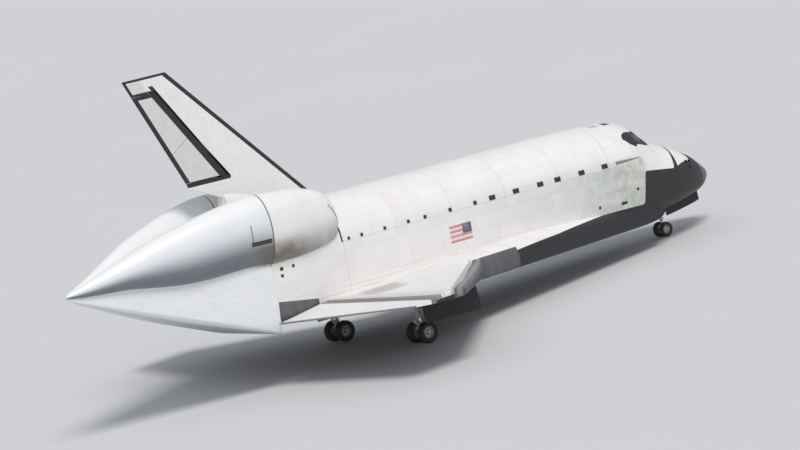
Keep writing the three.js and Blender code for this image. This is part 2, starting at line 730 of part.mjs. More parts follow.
function rudderCone( grow, z0, z1, segments = 28 ) {

	return rod( onRudderHinge( z0 ), onRudderHinge( z1 ), rudderHingeRadius( z0 ) + grow,
		rudderHingeRadius( z1 ) + grow, segments );

}

function rudderPanel() {

	const z0 = Z_RUDDER_BOTTOM + RUDDER_GAP_BELOW;
	const z1 = Z_RUDDER_TOP - RUDDER_GAP_ABOVE;
	const region = prismY( [ [ rudderHingeX( z0 ), z0 ], [ rudderHingeX( z1 ), z1 ],
		[ X_AFT_OF_ALL, z1 ], [ X_AFT_OF_ALL, z0 ] ], 0.25, 40 );
	return finLoft().intersect( region ).subtract( rudderCone( 0.45, 560, 815 ) );

}

// Landing gear, in inches from the ground point under the axle, +x forward and upright

const pitch = rad( GROUND_PITCH_DEG );
const heightAt = ( X, Z ) => Z * Math.cos( pitch ) + X * Math.sin( pitch );
const rollingShare = Math.cos( Math.PI / WHEEL_SEGMENTS );
const groundHeight = heightAt( MAIN_AXLE.X, MAIN_AXLE.Z ) - MAIN_AXLE.tyreRadius * rollingShare;
const noseDrop = NOSE_AXLE.tyreRadius * rollingShare + groundHeight;
NOSE_AXLE.Z = ( noseDrop - NOSE_AXLE.X * Math.sin( pitch ) ) / Math.cos( pitch );

// Row-frame position of a station point, before the group is centred
const aloft = ( X, Y, Z ) => P( X, Y, Z ).applyAxisAngle( new THREE.Vector3( 0, 1, 0 ), pitch );

// A tyre about the Y axis. Columns: part of the half-width, part of the radius
const TYRE_PROFILE = [ [ - 0.62, 0.56 ], [ - 1, 0.74 ], [ - 0.94, 0.92 ], [ - 0.5, 1 ],
	[ 0.5, 1 ], [ 0.94, 0.92 ], [ 1, 0.74 ], [ 0.62, 0.56 ] ];

function turned( profile, segments ) {

	const points = profile.map( ( [ y, r ] ) => new THREE.Vector2( r * IN, y * IN ) );
	points.push( points[ 0 ].clone() );
	const geometry = new THREE.LatheGeometry( points, segments );
	return geometry.rotateY( Math.PI / segments );

}

function tyre( axle ) {

	const profile = TYRE_PROFILE.map( ( [ y, r ] ) => [ y * axle.tyreWidth / 2, r * axle.tyreRadius ] );
	return turned( profile, WHEEL_SEGMENTS );

}

// Both rims of a pair of wheels and the axle that joins them
function hubs( axle, axleRadius ) {

	const rim = axle.tyreRadius * 0.56 * rollingShare - SEAM;
	const half = axle.tyreWidth * 0.31;
	const outer = axle.spacing / 2;
	// Columns: y outward from the middle of the pair, radius
	const profile = [ [ outer - half, axleRadius ], [ outer - half, rim ], [ outer + half, rim ],
		[ outer + half * 0.35, rim * 0.8 ], [ outer + half * 0.35, rim * 0.34 ],
		[ outer + half * 1.1, rim * 0.28 ], [ outer + half * 1.1, 0 ] ];
	const mirrored = profile.map( ( [ y, r ] ) => [ - y, r ] ).reverse();
	const points = [ ...mirrored, ...profile ].map( ( [ y, r ] ) => new THREE.Vector2( r * IN, y * IN ) );
	return new THREE.LatheGeometry( points, 18 );

}

const V = ( x, y, z ) => new THREE.Vector3( x * IN, y * IN, z * IN );

// Main leg: shock strut, axle sleeve, trunnion bar and forward brace, above the axle centre
function mainLeg( top ) {

	const strut = rod( V( 0, 0, 30 ), V( 0, 0, top ), 6, 6, 14 );
	const piston = rod( V( 0, 0, 3 ), V( 0, 0, 32 ), 4.2, 4.2, 12 );
	const sleeve = rod( V( 0, - 7.5, 0 ), V( 0, 7.5, 0 ), 5.2, 5.2, 14 );
	const trunnion = rod( V( 0, - 22, top - 6 ), V( 0, 22, top - 6 ), 3.6, 3.6, 10 );
	const brace = rod( V( 3, 0, 44 ), V( 62, 0, top - 10 ), 3, 3, 10 );
	const foot = rod( V( 62, - 18, top - 10 ), V( 62, 18, top - 10 ), 3.4, 3.4, 10 );
	const lowerLink = rod( V( 0, 0, 12 ), V( - 13, 0, 26 ), 2.2, 2.2, 8 );
	const upperLink = rod( V( - 13, 0, 26 ), V( 0, 0, 40 ), 2.2, 2.2, 8 );
	const bore = rod( V( 0, - 12, 0 ), V( 0, 12, 0 ), 3.05, 3.05, 18 );
	return join( strut, piston, sleeve, trunnion, brace, foot, lowerLink, upperLink ).subtract( bore );

}

function noseStrut( top ) {

	const cylinder = rod( V( 0, 0, 26 ), V( 0, 0, top ), 3.8, 3.8, 14 );
	const trunnion = rod( V( 0, - 18.5, top - 5 ), V( 0, 18.5, top - 5 ), 3, 3, 10 );
	const brace = rod( V( 2, 0, 38 ), V( 44, 0, top - 8 ), 2.2, 2.2, 10 );
	const foot = rod( V( 44, - 18.5, top - 8 ), V( 44, 18.5, top - 8 ), 2.4, 2.4, 10 );
	return join( cylinder, trunnion, brace, foot );

}

function noseFork() {

	const collar = rod( V( 0, 0, 20 ), V( 0, 0, 25.4 ), 4.6, 4.6, 14 );
	const piston = rod( V( 0, 0, 2 ), V( 0, 0, 21 ), 2.8, 2.8, 12 );
	const sleeve = rod( V( 0, - 5.4, 0 ), V( 0, 5.4, 0 ), 3.6, 3.6, 14 );
	const bore = rod( V( 0, - 9, 0 ), V( 0, 9, 0 ), 2.1, 2.1, 18 );
	return join( collar, piston, sleeve ).subtract( bore );

}

// Gear door hanging open from its hinge line, leaning outward. The hinge has rows of X and Z
function hangingDoor( hinge, y, { drop, leanDeg, thickness } ) {

	const out = drop * Math.sin( rad( leanDeg ) );
	const down = drop * Math.cos( rad( leanDeg ) );
	return loft( hinge.map( ( [ X, z ] ) => [ [ y, z ], [ y + out, z - down ],
		[ y + out + thickness, z - down ], [ y + thickness, z ] ].map( ( [ Y, Z ] ) => P( X, Y, Z ) ) ) );

}

// The nose gear door's edge follows the underside
function noseGearDoor() {

	const y = NOSE_WELL.y1 + 0.6;
	const stations = [ NOSE_DOOR.x0, 290, 308, 332, 362, NOSE_DOOR.x1 ];
	const hinge = stations.map( ( X ) => [ X, bodyBottom( X, y ) + 0.5 ] );
	return hangingDoor( hinge, y, NOSE_DOOR ).subtract( bodyGrown );

}

// The main gear door's edge is just below the wing's underside
function mainGearDoor() {

	return hangingDoor( [ [ MAIN_DOOR.x0, 268.9 ], [ MAIN_DOOR.x1, 269.9 ] ], MAIN_WELL.y1 + 0.5, MAIN_DOOR );

}

// Materials

const paint = ( color, roughness, metalness = 0 ) =>
	new THREE.MeshStandardMaterial( { color, roughness, metalness } );
const WHITE_BLANKET = paint( 0xd9d6d4, 0.8 );
const WHITE_TILE = paint( 0xdedcda, 0.6 );
const BLACK_TILE = paint( 0x1d1e21, 0.55 );
const CARBON = paint( 0x6c6e70, 0.5 );
const CONE_PAINT = paint( 0xdfe3e6, 0.35 );
const GLASS = paint( 0x0d0f12, 0.08 );
const STEEL = paint( 0xb9bbbd, 0.35, 0.6 );
const RUBBER = paint( 0x242424, 0.85 );
const RADIATOR_FILM = paint( 0xc9ccd2, 0.2, 0.8 );
const CABIN_GREY = paint( 0x8a8f94, 0.6 );
const RUDDER_TILE = paint( 0xc6ccc4, 0.6 );

// Assembly

const orbiter = new THREE.Group();
const airframe = new THREE.Group();
airframe.rotation.y = pitch;
orbiter.add( airframe );

function place( group, name, shape, material ) {

	const geometry = shape.isBufferGeometry ? shape : geometryFrom( shape );
	const mesh = new THREE.Mesh( geometry, material );
	mesh.name = name;
	group.add( mesh );
	return mesh;

}

// A port piece and its starboard mirror image
function placePair( group, name, shape, material ) {

	const port = place( group, `${ name }_left`, shape, material );
	const starboard = port.clone();
	starboard.name = `${ name }_right`;
	starboard.scale.y = - 1;
	starboard.position.y = - port.position.y;
	group.add( starboard );
	return port;

}

place( airframe, 'nose_cap', noseCap(), CARBON );
place( airframe, 'forward_jet_module', reactionJetModule(), WHITE_TILE );
place( airframe, 'forward_fuselage_lower', forwardLower(), BLACK_TILE );
place( airframe, 'forward_fuselage_upper', forwardUpper(), WHITE_BLANKET );
for ( const row of WINDOWS ) placePair( airframe, row[ 0 ], windowPane( row ), GLASS );
place( airframe, 'side_hatch', sideHatch(), WHITE_TILE );
place( airframe, 'flight_deck_floor', flightDeck(), CABIN_GREY );
place( airframe, 'instrument_panel', instrumentPanel(), CABIN_GREY );
placePair( airframe, 'crew_seat', seat( 22 ), CABIN_GREY );

place( airframe, 'mid_fuselage', midFuselage(), WHITE_BLANKET );
placePair( airframe, 'payload_bay_door', bayDoor(), WHITE_BLANKET );
placePair( airframe, 'radiator', radiator(), RADIATOR_FILM );
place( airframe, 'aft_fuselage', aftFuselage(), WHITE_BLANKET );
placePair( airframe, 'manoeuvring_pod', manoeuvringPod(), WHITE_BLANKET );
place( airframe, 'tail_cone', tailCone(), CONE_PAINT );
place( airframe, 'main_engine_block', engineBlock(), STEEL );

const wing = wholeWing();
placePair( airframe, 'wing', wingPiece( wing ), WHITE_BLANKET );
placePair( airframe, 'wing_leading_edge', leadingEdgePiece( wing ), CARBON );
const inboardElevon = elevon( Y_ELEVON_INNER, Y_ELEVON_SPLIT - MOVING_GAP );
const outboardElevon = elevon( Y_ELEVON_SPLIT + MOVING_GAP, Y_TIP );
placePair( airframe, 'elevon_inboard', inboardElevon, WHITE_TILE );
placePair( airframe, 'elevon_outboard', outboardElevon, WHITE_TILE );

const fin = finWithChute();
const coneGrown = coneSolid( - SEAM, X_BASE - SEAM );
place( airframe, 'vertical_fin', fin.subtract( chuteRegion( SEAM ) ), WHITE_BLANKET );
const chuteCompartment = fin.intersect( chuteRegion( 0 ) ).subtract( coneGrown );
place( airframe, 'drag_chute_compartment', chuteCompartment, WHITE_TILE );
place( airframe, 'rudder_hinge_tube', rudderCone( 0, 596, 780 ), BLACK_TILE );
placePair( airframe, 'rudder_panel', rudderPanel(), RUDDER_TILE );

placePair( airframe, 'nose_gear_door', noseGearDoor(), BLACK_TILE );
placePair( airframe, 'main_gear_door', mainGearDoor(), BLACK_TILE );

const noseAxle = aloft( NOSE_AXLE.X, 0, NOSE_AXLE.Z );
const mainAxle = aloft( MAIN_AXLE.X, MAIN_AXLE.Y, MAIN_AXLE.Z );
const moveTo = ( mesh, point ) => mesh.position.copy( point );

moveTo( place( airframe, 'nose_gear_strut', noseStrut( 96 ), STEEL ), P( NOSE_AXLE.X, 0, NOSE_AXLE.Z ) );
moveTo( place( airframe, 'nose_gear_fork', noseFork(), STEEL ), P( NOSE_AXLE.X, 0, NOSE_AXLE.Z ) );
moveTo( place( orbiter, 'nose_wheel_hubs', hubs( NOSE_AXLE, 1.9 ), STEEL ), noseAxle );
for ( const [ name, side ] of [ [ 'left', 1 ], [ 'right', - 1 ] ] ) {

	const at = noseAxle.clone().add( V( 0, side * NOSE_AXLE.spacing / 2, 0 ) );
	moveTo( place( orbiter, `nose_tyre_${ name }`, tyre( NOSE_AXLE ), RUBBER ), at );

}

for ( const [ name, side ] of [ [ 'left', 1 ], [ 'right', - 1 ] ] ) {

	const axle = mainAxle.clone();
	axle.y *= side;
	const leg = place( orbiter, `main_gear_leg_${ name }`, mainLeg( 108 ), STEEL );
	moveTo( leg, axle );
	moveTo( place( orbiter, `main_wheel_hubs_${ name }`, hubs( MAIN_AXLE, 2.85 ), STEEL ), axle );
	for ( const [ pair, offset ] of [ [ 'outer', side ], [ 'inner', - side ] ] ) {

		const at = axle.clone().add( V( 0, offset * MAIN_AXLE.spacing / 2, 0 ) );
		moveTo( place( orbiter, `main_tyre_${ name }_${ pair }`, tyre( MAIN_AXLE ), RUBBER ), at );

	}

}

// The origin goes on the ground under the middle of the bounding box
orbiter.updateMatrixWorld( true );
const bounds = new THREE.Box3().setFromObject( orbiter, true );
const middle = bounds.getCenter( new THREE.Vector3() );
const origin = new THREE.Vector3( middle.x, 0, bounds.min.z );
for ( const child of orbiter.children ) child.position.sub( origin );
orbiter.updateMatrixWorld( true );

export default orbiter;
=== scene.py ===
"""Looks of a half-size space shuttle orbiter with its ferry tail cone, parked on its landing gear.

Shapes are laid out in orbiter stations, in inches: X aft from ahead of the nose, Y to port, Z up.
to_row() turns them into metres in the row frame, where the airframe sits 3.5 degrees nose down.
"""

import math

import bpy
import numpy as np
from mathutils import Matrix, Vector


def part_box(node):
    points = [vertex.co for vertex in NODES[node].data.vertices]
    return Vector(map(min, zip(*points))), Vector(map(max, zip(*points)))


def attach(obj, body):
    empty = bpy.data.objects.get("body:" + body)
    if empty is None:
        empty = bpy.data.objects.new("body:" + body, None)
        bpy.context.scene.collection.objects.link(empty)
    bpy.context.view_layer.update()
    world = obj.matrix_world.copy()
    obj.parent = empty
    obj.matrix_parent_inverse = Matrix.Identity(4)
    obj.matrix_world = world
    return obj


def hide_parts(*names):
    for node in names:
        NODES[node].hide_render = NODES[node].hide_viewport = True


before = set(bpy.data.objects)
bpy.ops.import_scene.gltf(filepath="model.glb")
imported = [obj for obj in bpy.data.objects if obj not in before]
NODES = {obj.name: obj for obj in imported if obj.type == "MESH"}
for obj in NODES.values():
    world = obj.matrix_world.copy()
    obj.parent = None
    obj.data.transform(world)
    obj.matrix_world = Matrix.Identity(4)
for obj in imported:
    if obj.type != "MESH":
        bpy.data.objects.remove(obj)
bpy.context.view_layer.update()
scene = bpy.context.scene

# Frame of the airframe
INCH = 0.0127
X_MIDDLE = 1082
PITCH = math.radians(3.5)
COS, SIN = math.cos(PITCH), math.sin(PITCH)
X_NOSE, Z_NOSE = 238.2, 335
ROLLING_SHARE = math.cos(math.pi / 24)
MAIN_AXLE = {"X": 1172, "Y": 136, "Z": 193, "radius": 22.25, "width": 16, "spacing": 37}
NOSE_AXLE = {"X": 377, "Y": 0, "radius": 16, "width": 8.8, "spacing": 22}
GROUND = MAIN_AXLE["Z"] * COS + MAIN_AXLE["X"] * SIN - MAIN_AXLE["radius"] * ROLLING_SHARE
NOSE_AXLE["Z"] = (NOSE_AXLE["radius"] * ROLLING_SHARE + GROUND - NOSE_AXLE["X"] * SIN) / COS
SHIFT_Z = (GROUND - X_MIDDLE * SIN) * INCH
SHIFT_X = (COS * (X_MIDDLE - X_NOSE) + SIN * Z_NOSE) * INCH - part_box("nose_cap")[1].x

# Main stations and sizes, in inches
X_NOSE_CAP, X_JET_MODULE, X_BAY_FRONT, X_BAY_BACK, X_BASE = 288, 398, 582, 1307, 1496
Z_CABIN_DECK, CABIN_WALL, SEAM, MOVING_GAP = 352, 5, 0.03, 0.55
BAY_RADIUS, Z_BAY_CENTRE, Z_DOOR_HINGE = 90, 400, 410
DOOR_THICKNESS, RADIATOR_THICKNESS = 5, 1.6
DOOR_HINGE_X = [595, 660, 727, 775, 842, 907, 954, 1021.5, 1089, 1133.5, 1196, 1257, 1291]
X_ELEVON_HINGE, Y_TIP, Y_ELEVON_INNER, Y_ELEVON_SPLIT = 1387, 468.34, 110.6, 312
X_GLOVE, Y_ROOT, GLOVE_SLOPE, X_SWEEP = 500, 105, 6.3138, 835.7
X_ELEVON_BACK, ELEVON_TAPER, HINGE_RISE = 1525, 0.1773, 0.0614
ELEVON_UP, ELEVON_DOWN = math.radians(37), math.radians(22)
SWEEP_SHARE = 0.7071  # sine and cosine of the leading edge's sweep of 45 degrees
Z_RUDDER_BOTTOM, Z_RUDDER_TOP, Z_FIN_ROOT, Z_FIN_TIP = 587, 788, 494, 818.7
Z_FIN, RUDDER_LEAN, FIN_BACK_LEAN, RUDDER_GAP = 503, 0.696, 0.4932, 0.3
# Limits for cutting solids: ahead of the nose, beside and below the fuselage, above it, beside the fin
AHEAD, WIDE, LOW, HIGH, FIN_WIDE = 200, 130, 240, 560, 40

# Fuselage. Columns: X, z of the bottom, of greatest width and of the top, half-width, power above, below
BODY = [
    (238.2, 332, 332, 332, 0, 2, 2), (240.5, 324, 332, 339.5, 10, 2, 2), (246, 317, 332, 345, 19, 2, 2),
    (254, 310.5, 331, 350, 28, 2, 2), (264, 305, 331, 358, 37.5, 2, 2), (276, 300.5, 330, 367.5, 47, 2, 2.1),
    (290, 297, 330, 379, 56, 2, 2.2), (308, 294, 331, 389.5, 65, 2, 2.3),
    (332, 290.5, 334, 400.5, 74.5, 2, 2.5), (362, 286.5, 339, 414.5, 83, 1.95, 2.7),
    (396, 283, 347, 428, 90, 1.85, 3),
    (408, 282, 350, 434, 91.8, 1.75, 3.1), (425, 280, 355, 452, 94, 1.65, 3.3),
    (443, 278.5, 361, 469, 96.5, 1.65, 3.6), (460, 277, 367, 479.5, 98.3, 1.75, 4),
    (480, 275.5, 375, 487, 100, 1.95, 4.5), (505, 273.5, 384, 491.5, 101.8, 2.1, 5.2),
    (540, 271.5, 394, 492, 103.2, 2.15, 6.5), (582, 270, 402, 494, 104, 2.1, 8.5),
    (660, 268.5, 404, 495.5, 104, 2.1, 12), (780, 267.5, 405, 496, 104, 2.1, 16),
    (1307, 267, 405, 496, 104, 2.1, 16), (1400, 270, 405, 497, 104.5, 2.2, 14),
    (1496, 281, 405, 498, 105, 2.3, 12),
]
# Pods. Columns: X, y and z of the centre, half-width, half-height
POD = [
    (1307.2, 84, 455, 0, 0), (1308.2, 84, 455, 12, 15), (1312, 84, 457, 21, 31), (1320, 84, 461, 29, 45),
    (1332, 84, 464, 35, 54), (1350, 84, 466, 39, 61), (1375, 84, 468, 42, 66.5), (1420, 84.5, 470, 45, 72),
    (1496, 85, 472, 46.2, 75),
]
# Tail cone. Columns: X, z of the belly, half-width, z of the valley, then the hump's y, z and half-sizes
CONE = [
    (1496, 262, 106, 499, 85, 472, 46.2, 75), (1520, 270, 101.5, 499, 82.5, 474, 45.6, 72.5),
    (1560, 283.5, 91.5, 500, 76, 472, 43.5, 70), (1620, 304, 76.5, 496, 66, 466.5, 40, 65.5),
    (1680, 324.5, 61.5, 489, 55, 460.5, 36, 57.5), (1740, 347, 46.5, 477, 42, 456.5, 31, 46),
    (1800, 371, 31.5, 461, 28, 450, 24, 31), (1860, 396, 16.5, 445, 14, 440, 15, 18),
    (1900, 414, 7, 437, 5.5, 434.5, 8.5, 9.5), (1926, 428, 2, 435, 1, 432, 3, 3),
]
# Wing. Columns: Y, z of the leading edge, of the underside and of the crown
WING = [(96, 291, 268, 325), (140, 290, 269, 324), (188, 291, 270, 322.5), (312, 300, 283, 321),
        (Y_TIP, 313, 302.5, 321.5)]
# Wing section. Columns: share of the chord, rise, drop, blend into the hinge
AIRFOIL = [
    (0, 0, 0, 0), (0.004, 0.17, 0.3, 0), (0.012, 0.29, 0.5, 0), (0.03, 0.44, 0.72, 0), (0.07, 0.61, 0.88, 0),
    (0.14, 0.78, 0.97, 0), (0.25, 0.92, 1, 0), (0.4, 1, 1, 0), (0.6, 1, 1, 0.22), (0.8, 1, 1, 0.58),
    (1, 1, 1, 1),
]


def to_row(stations):
    """Station inches to metres in the row frame: scaled, turned nose down about Y and shifted."""
    p = np.asarray(stations, float)
    a, b, c = (X_MIDDLE - p[..., 0]) * INCH, p[..., 1] * INCH, p[..., 2] * INCH
    return np.stack([a * COS + c * SIN - SHIFT_X, b, c * COS - a * SIN - SHIFT_Z], -1)


def upright(base, offsets):
    """Points at inch offsets (forward, port, up), square to the ground, from a station point."""
    return to_row(base) + np.asarray(offsets, float) * INCH


def rows_at(table, wanted, key=lambda x: x):
    """Monotone cubic through a table's rows over key(first column): Hermite pieces whose slopes are
    the harmonic means of the neighbouring chords, or zero where the chords change sign."""
    rows = np.array(table, float)
    x, t = key(rows[:, 0]), np.clip(key(np.asarray(wanted, float)), key(rows[0, 0]), key(rows[-1, 0]))
    step = np.diff(x)[:, None]
    chord = np.diff(rows[:, 1:], axis=0) / step
    slope = np.zeros_like(rows[:, 1:])
    same = chord[:-1] * chord[1:] > 0
    with np.errstate(divide="ignore", invalid="ignore"):
        slope[1:-1] = np.where(same, 2 * chord[:-1] * chord[1:] / (chord[:-1] + chord[1:]), 0)
    slope[0], slope[-1] = chord[0], chord[-1]
    i = np.clip(np.searchsorted(x, t, side="right") - 1, 0, len(x) - 2)
    h, u = step[i], ((t - x[i]) / step[i][:, 0])[:, None]
    a, b = rows[i, 1:], rows[i + 1, 1:]
    return (a * (1 + 2 * u) * (1 - u) ** 2 + h * slope[i] * u * (1 - u) ** 2
            + b * u * u * (3 - 2 * u) - h * slope[i + 1] * u * u * (1 - u))


def grid(X, Y, Z):
    """Stations spread over one grid, as points in the row frame."""
    return to_row(np.stack(np.broadcast_arrays(X, Y, Z), -1))


# Straight lines of the fin, as X over height. They take arrays and a material's signals alike

def fin_lead_x(Z):
    return 1280 + (Z - Z_FIN)


def rudder_hinge_x(Z):
    return 1498.3 + (Z - Z_RUDDER_BOTTOM) * RUDDER_LEAN


def fin_back_x(Z):
    return 1548.5 + (Z - Z_FIN) * FIN_BACK_LEAN


# Solids: each is (points, faces), faces being a list of index lists

def signed_volume(points, faces):
    """Sum over the faces, as fans, of the tetrahedra that they make with the origin."""
    total = 0
    for face in faces:
        face = np.asarray(face)
        a, b, c = points[face[..., 0]], points[face[..., 1:-1]], points[face[..., 2:]]
        total += (np.cross(b, c) * np.expand_dims(a, -2)).sum()
    return total / 6


def outward(points, quads, caps=()):
    """A solid whose faces point out: all are turned round if the volume comes out negative."""
    flat = points.reshape(-1, 3)
    faces = [quads] + [np.asarray(cap)[None] for cap in caps]
    if signed_volume(flat - flat.mean(0), faces) < 0:
        faces = [face[:, ::-1] for face in faces]
    return flat, [index for face in faces for index in face.tolist()]


def tube(rings):
    """Closed skin through rings of points (n, m, 3) with a flat cap at each end."""
    n, m = rings.shape[:2]
    i, j = np.meshgrid(np.arange(n - 1), np.arange(m), indexing="ij")
    k = (j + 1) % m
    quads = np.stack([i * m + j, i * m + k, (i + 1) * m + k, (i + 1) * m + j], -1).reshape(-1, 4)
    ends = [np.arange(m)[::-1], np.arange(m) + (n - 1) * m]
    return outward(rings, quads, ends)


def ring_torus(rings):
    """Closed skin through rings of points (n, m, 3) that joins back to its first ring."""
    n, m = rings.shape[:2]
    i, j = np.meshgrid(np.arange(n), np.arange(m), indexing="ij")
    r, k = (i + 1) % n, (j + 1) % m
    return outward(rings, np.stack([i * m + j, i * m + k, r * m + k, r * m + j], -1).reshape(-1, 4))


def between(top, bottom):
    """Closed plate between two equal grids of points (n, m, 3), walled round its border."""
    n, m = top.shape[:2]
    i, j = np.meshgrid(np.arange(n - 1), np.arange(m - 1), indexing="ij")
    one = np.stack([i * m + j, i * m + j + 1, (i + 1) * m + j + 1, (i + 1) * m + j], -1).reshape(-1, 4)
    index = np.arange(n * m).reshape(n, m)
    edge = np.concatenate([index[0, :-1], index[:-1, -1], index[-1, :0:-1], index[:0:-1, 0]])
    after = np.roll(edge, -1)
    wall = np.stack([edge, edge + n * m, after + n * m, after], -1)
    quads = np.concatenate([one, one[:, ::-1] + n * m, wall])
    return outward(np.concatenate([top.reshape(-1, 3), bottom.reshape(-1, 3)]), quads)


def joined(*solids):
    """Several solids as one."""
    points, faces, start = [], [], 0
    for p, f in solids:
        points.append(p)
        faces += [[i + start for i in face] for face in f]
        start += len(p)
    return np.concatenate(points), faces


def mirrored(solid):
    """The solid on the other side of the plane of symmetry."""
    points, faces = solid
    return points * (1, -1, 1), [face[::-1] for face in faces]


def mesh_of(solid, name="shape"):
    """Blender mesh of a solid."""
    mesh = bpy.data.meshes.new(name)
    mesh.from_pydata(solid[0].tolist(), [], solid[1])
    return mesh


def solid_of(mesh):
    """Points and faces of a Blender mesh."""
    points = np.empty(len(mesh.vertices) * 3)
    mesh.vertices.foreach_get("co", points)
    return points.reshape(-1, 3), [list(face.vertices) for face in mesh.polygons]


OPERATIONS = {"-": "DIFFERENCE", "&": "INTERSECT", "+": "UNION"}


def cut(base, *steps):
    """The base cut (-), kept within (&) or joined with (+) other solids, in that order."""
    objects = []
    for solid in (base, *(tool for _, tool in steps)):
        objects.append(bpy.data.objects.new("cut_work", mesh_of(solid)))
        scene.collection.objects.link(objects[-1])
    for tool, (sign, _) in zip(objects[1:], steps):
        modifier = objects[0].modifiers.new("cut", "BOOLEAN")
        modifier.solver, modifier.operation, modifier.object = "MANIFOLD", OPERATIONS[sign], tool
    shown = objects[0].evaluated_get(bpy.context.evaluated_depsgraph_get())
    result = solid_of(shown.to_mesh())
    shown.to_mesh_clear()
    for work in objects:
        mesh = work.data
        bpy.data.objects.remove(work)
        bpy.data.meshes.remove(mesh)
    return result


def box(x0, x1, y0, y1, z0, z1):
    """Block between six planes of stations."""
    y, z = np.array([y0, y1, y1, y0]), np.array([z0, z0, z1, z1])
    return tube(to_row(np.stack([np.stack([np.full(4, x), y, z], -1) for x in (x0, x1)])))


def slab(x0, x1, z0=LOW, z1=HIGH):
    """Block between two X, wider than the fuselage."""
    return box(x0, x1, -WIDE, WIDE, z0, z1)


def prism(outline, axis, low, high):
    """Solid with a flat outline, drawn in the two other axes in order, along one station axis."""
    flat = np.asarray(outline, float)
    return tube(to_row(np.stack([np.insert(flat, axis, level, axis=1) for level in (low, high)])))


def turned(start, end, profile, segments=48):
    """Solid turned about the line from start to end, in row metres. Profile rows: share of the
    length, radius in inches."""
    start, end = np.asarray(start, float), np.asarray(end, float)
    axis = (end - start) / np.linalg.norm(end - start)
    side = np.array([0, 0, 1.0]) if abs(axis[2]) < 0.9 else np.array([1.0, 0, 0])
    u = np.cross(axis, side)
    u /= np.linalg.norm(u)
    v = np.cross(axis, u)
    angle = np.arange(segments) * 2 * math.pi / segments
    spokes = np.cos(angle)[:, None] * u + np.sin(angle)[:, None] * v
    rows = np.array(profile, float)
    centre = start + rows[:, :1] * (end - start)
    return tube(centre[:, None] + rows[:, 1, None, None] * INCH * spokes)


def rod(start, end, radius, end_radius=None, segments=48, edge=0.0):
    """Round bar between two points in row metres, with its end edges taken off by edge inches."""
    last = radius if end_radius is None else end_radius
    length = np.linalg.norm(np.asarray(end) - np.asarray(start)) / INCH
    e = edge / length
    rows = [(0, radius), (1, last)] if edge == 0 else [
        (0, radius - edge), (e * 0.3, radius - edge * 0.3), (e, radius),
        (1 - e, last), (1 - e * 0.3, last - edge * 0.3), (1, last - edge)]
    return turned(start, end, rows, segments)


def bar(start, end, radius, **settings):
    """Round bar between two stations."""
    return rod(to_row(start), to_row(end), radius, **settings)


# Finished pieces

def piece(name, solid, body, material, replaces=(), sharp=30):
    """Puts a solid into the scene as a piece that rides on a body and stands for CAD nodes."""
    mesh = mesh_of(solid, name)
    mesh.materials.append(material)
    mesh.shade_smooth()
    mesh.set_sharp_from_angle(angle=math.radians(sharp))
    made = bpy.data.objects.new(name, mesh)
    scene.collection.objects.link(made)
    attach(made, body)
    if replaces:
        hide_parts(*replaces)


def pair(name, solid, body, material, replaces=(), sharp=30):
    """The piece on the port side and its mirror image to starboard. A * in a body's or node's name
    stands for the side."""
    for side, shape in (("left", solid), ("right", mirrored(solid))):
        piece(f"{name}_{side}", shape, body.replace("*", side), material,
              [node.replace("*", side) for node in replaces], sharp)


# Materials

def math_node(operation, swapped=False):
    """Arithmetic as a Math node, with its values swapped where a plain number stands on the left."""
    return lambda a, b: a.graph.math(operation, *((b, a) if swapped else (a, b)))


class Signal:
    """An output in a node tree. Arithmetic on it adds Math nodes, a | b being the larger of two and
    a & b the smaller, which for masks mean or and and."""

    __add__, __radd__ = math_node("ADD"), math_node("ADD", True)
    __sub__, __rsub__ = math_node("SUBTRACT"), math_node("SUBTRACT", True)
    __mul__, __rmul__ = math_node("MULTIPLY"), math_node("MULTIPLY", True)
    __truediv__, __rtruediv__ = math_node("DIVIDE"), math_node("DIVIDE", True)
    __mod__, __or__, __and__ = math_node("MODULO"), math_node("MAXIMUM"), math_node("MINIMUM")

    def __init__(self, graph, socket):
        self.graph, self.socket = graph, socket

    def __abs__(self):
        return self.graph.math("ABSOLUTE", self)

    def ramp(self, low, high):
        """0 at low to 1 at high, smoothly."""
        return self.graph.add("ShaderNodeMapRange", [self, low, high, 0, 1], interpolation_type="SMOOTHSTEP")

    def within(self, low, high, soft=0.4):
        """1 between low and high."""
        return self.ramp(low - soft, low + soft) * self.ramp(high + soft, high - soft)

    def lines(self, width, *places):
        """1 on the thin lines where the value is one of the places."""
        found = None
        for at in places:
            line = self.graph.place(LINE, Value=self, At=at, Width=width)[0]
            found = found | line if found else line
        return found


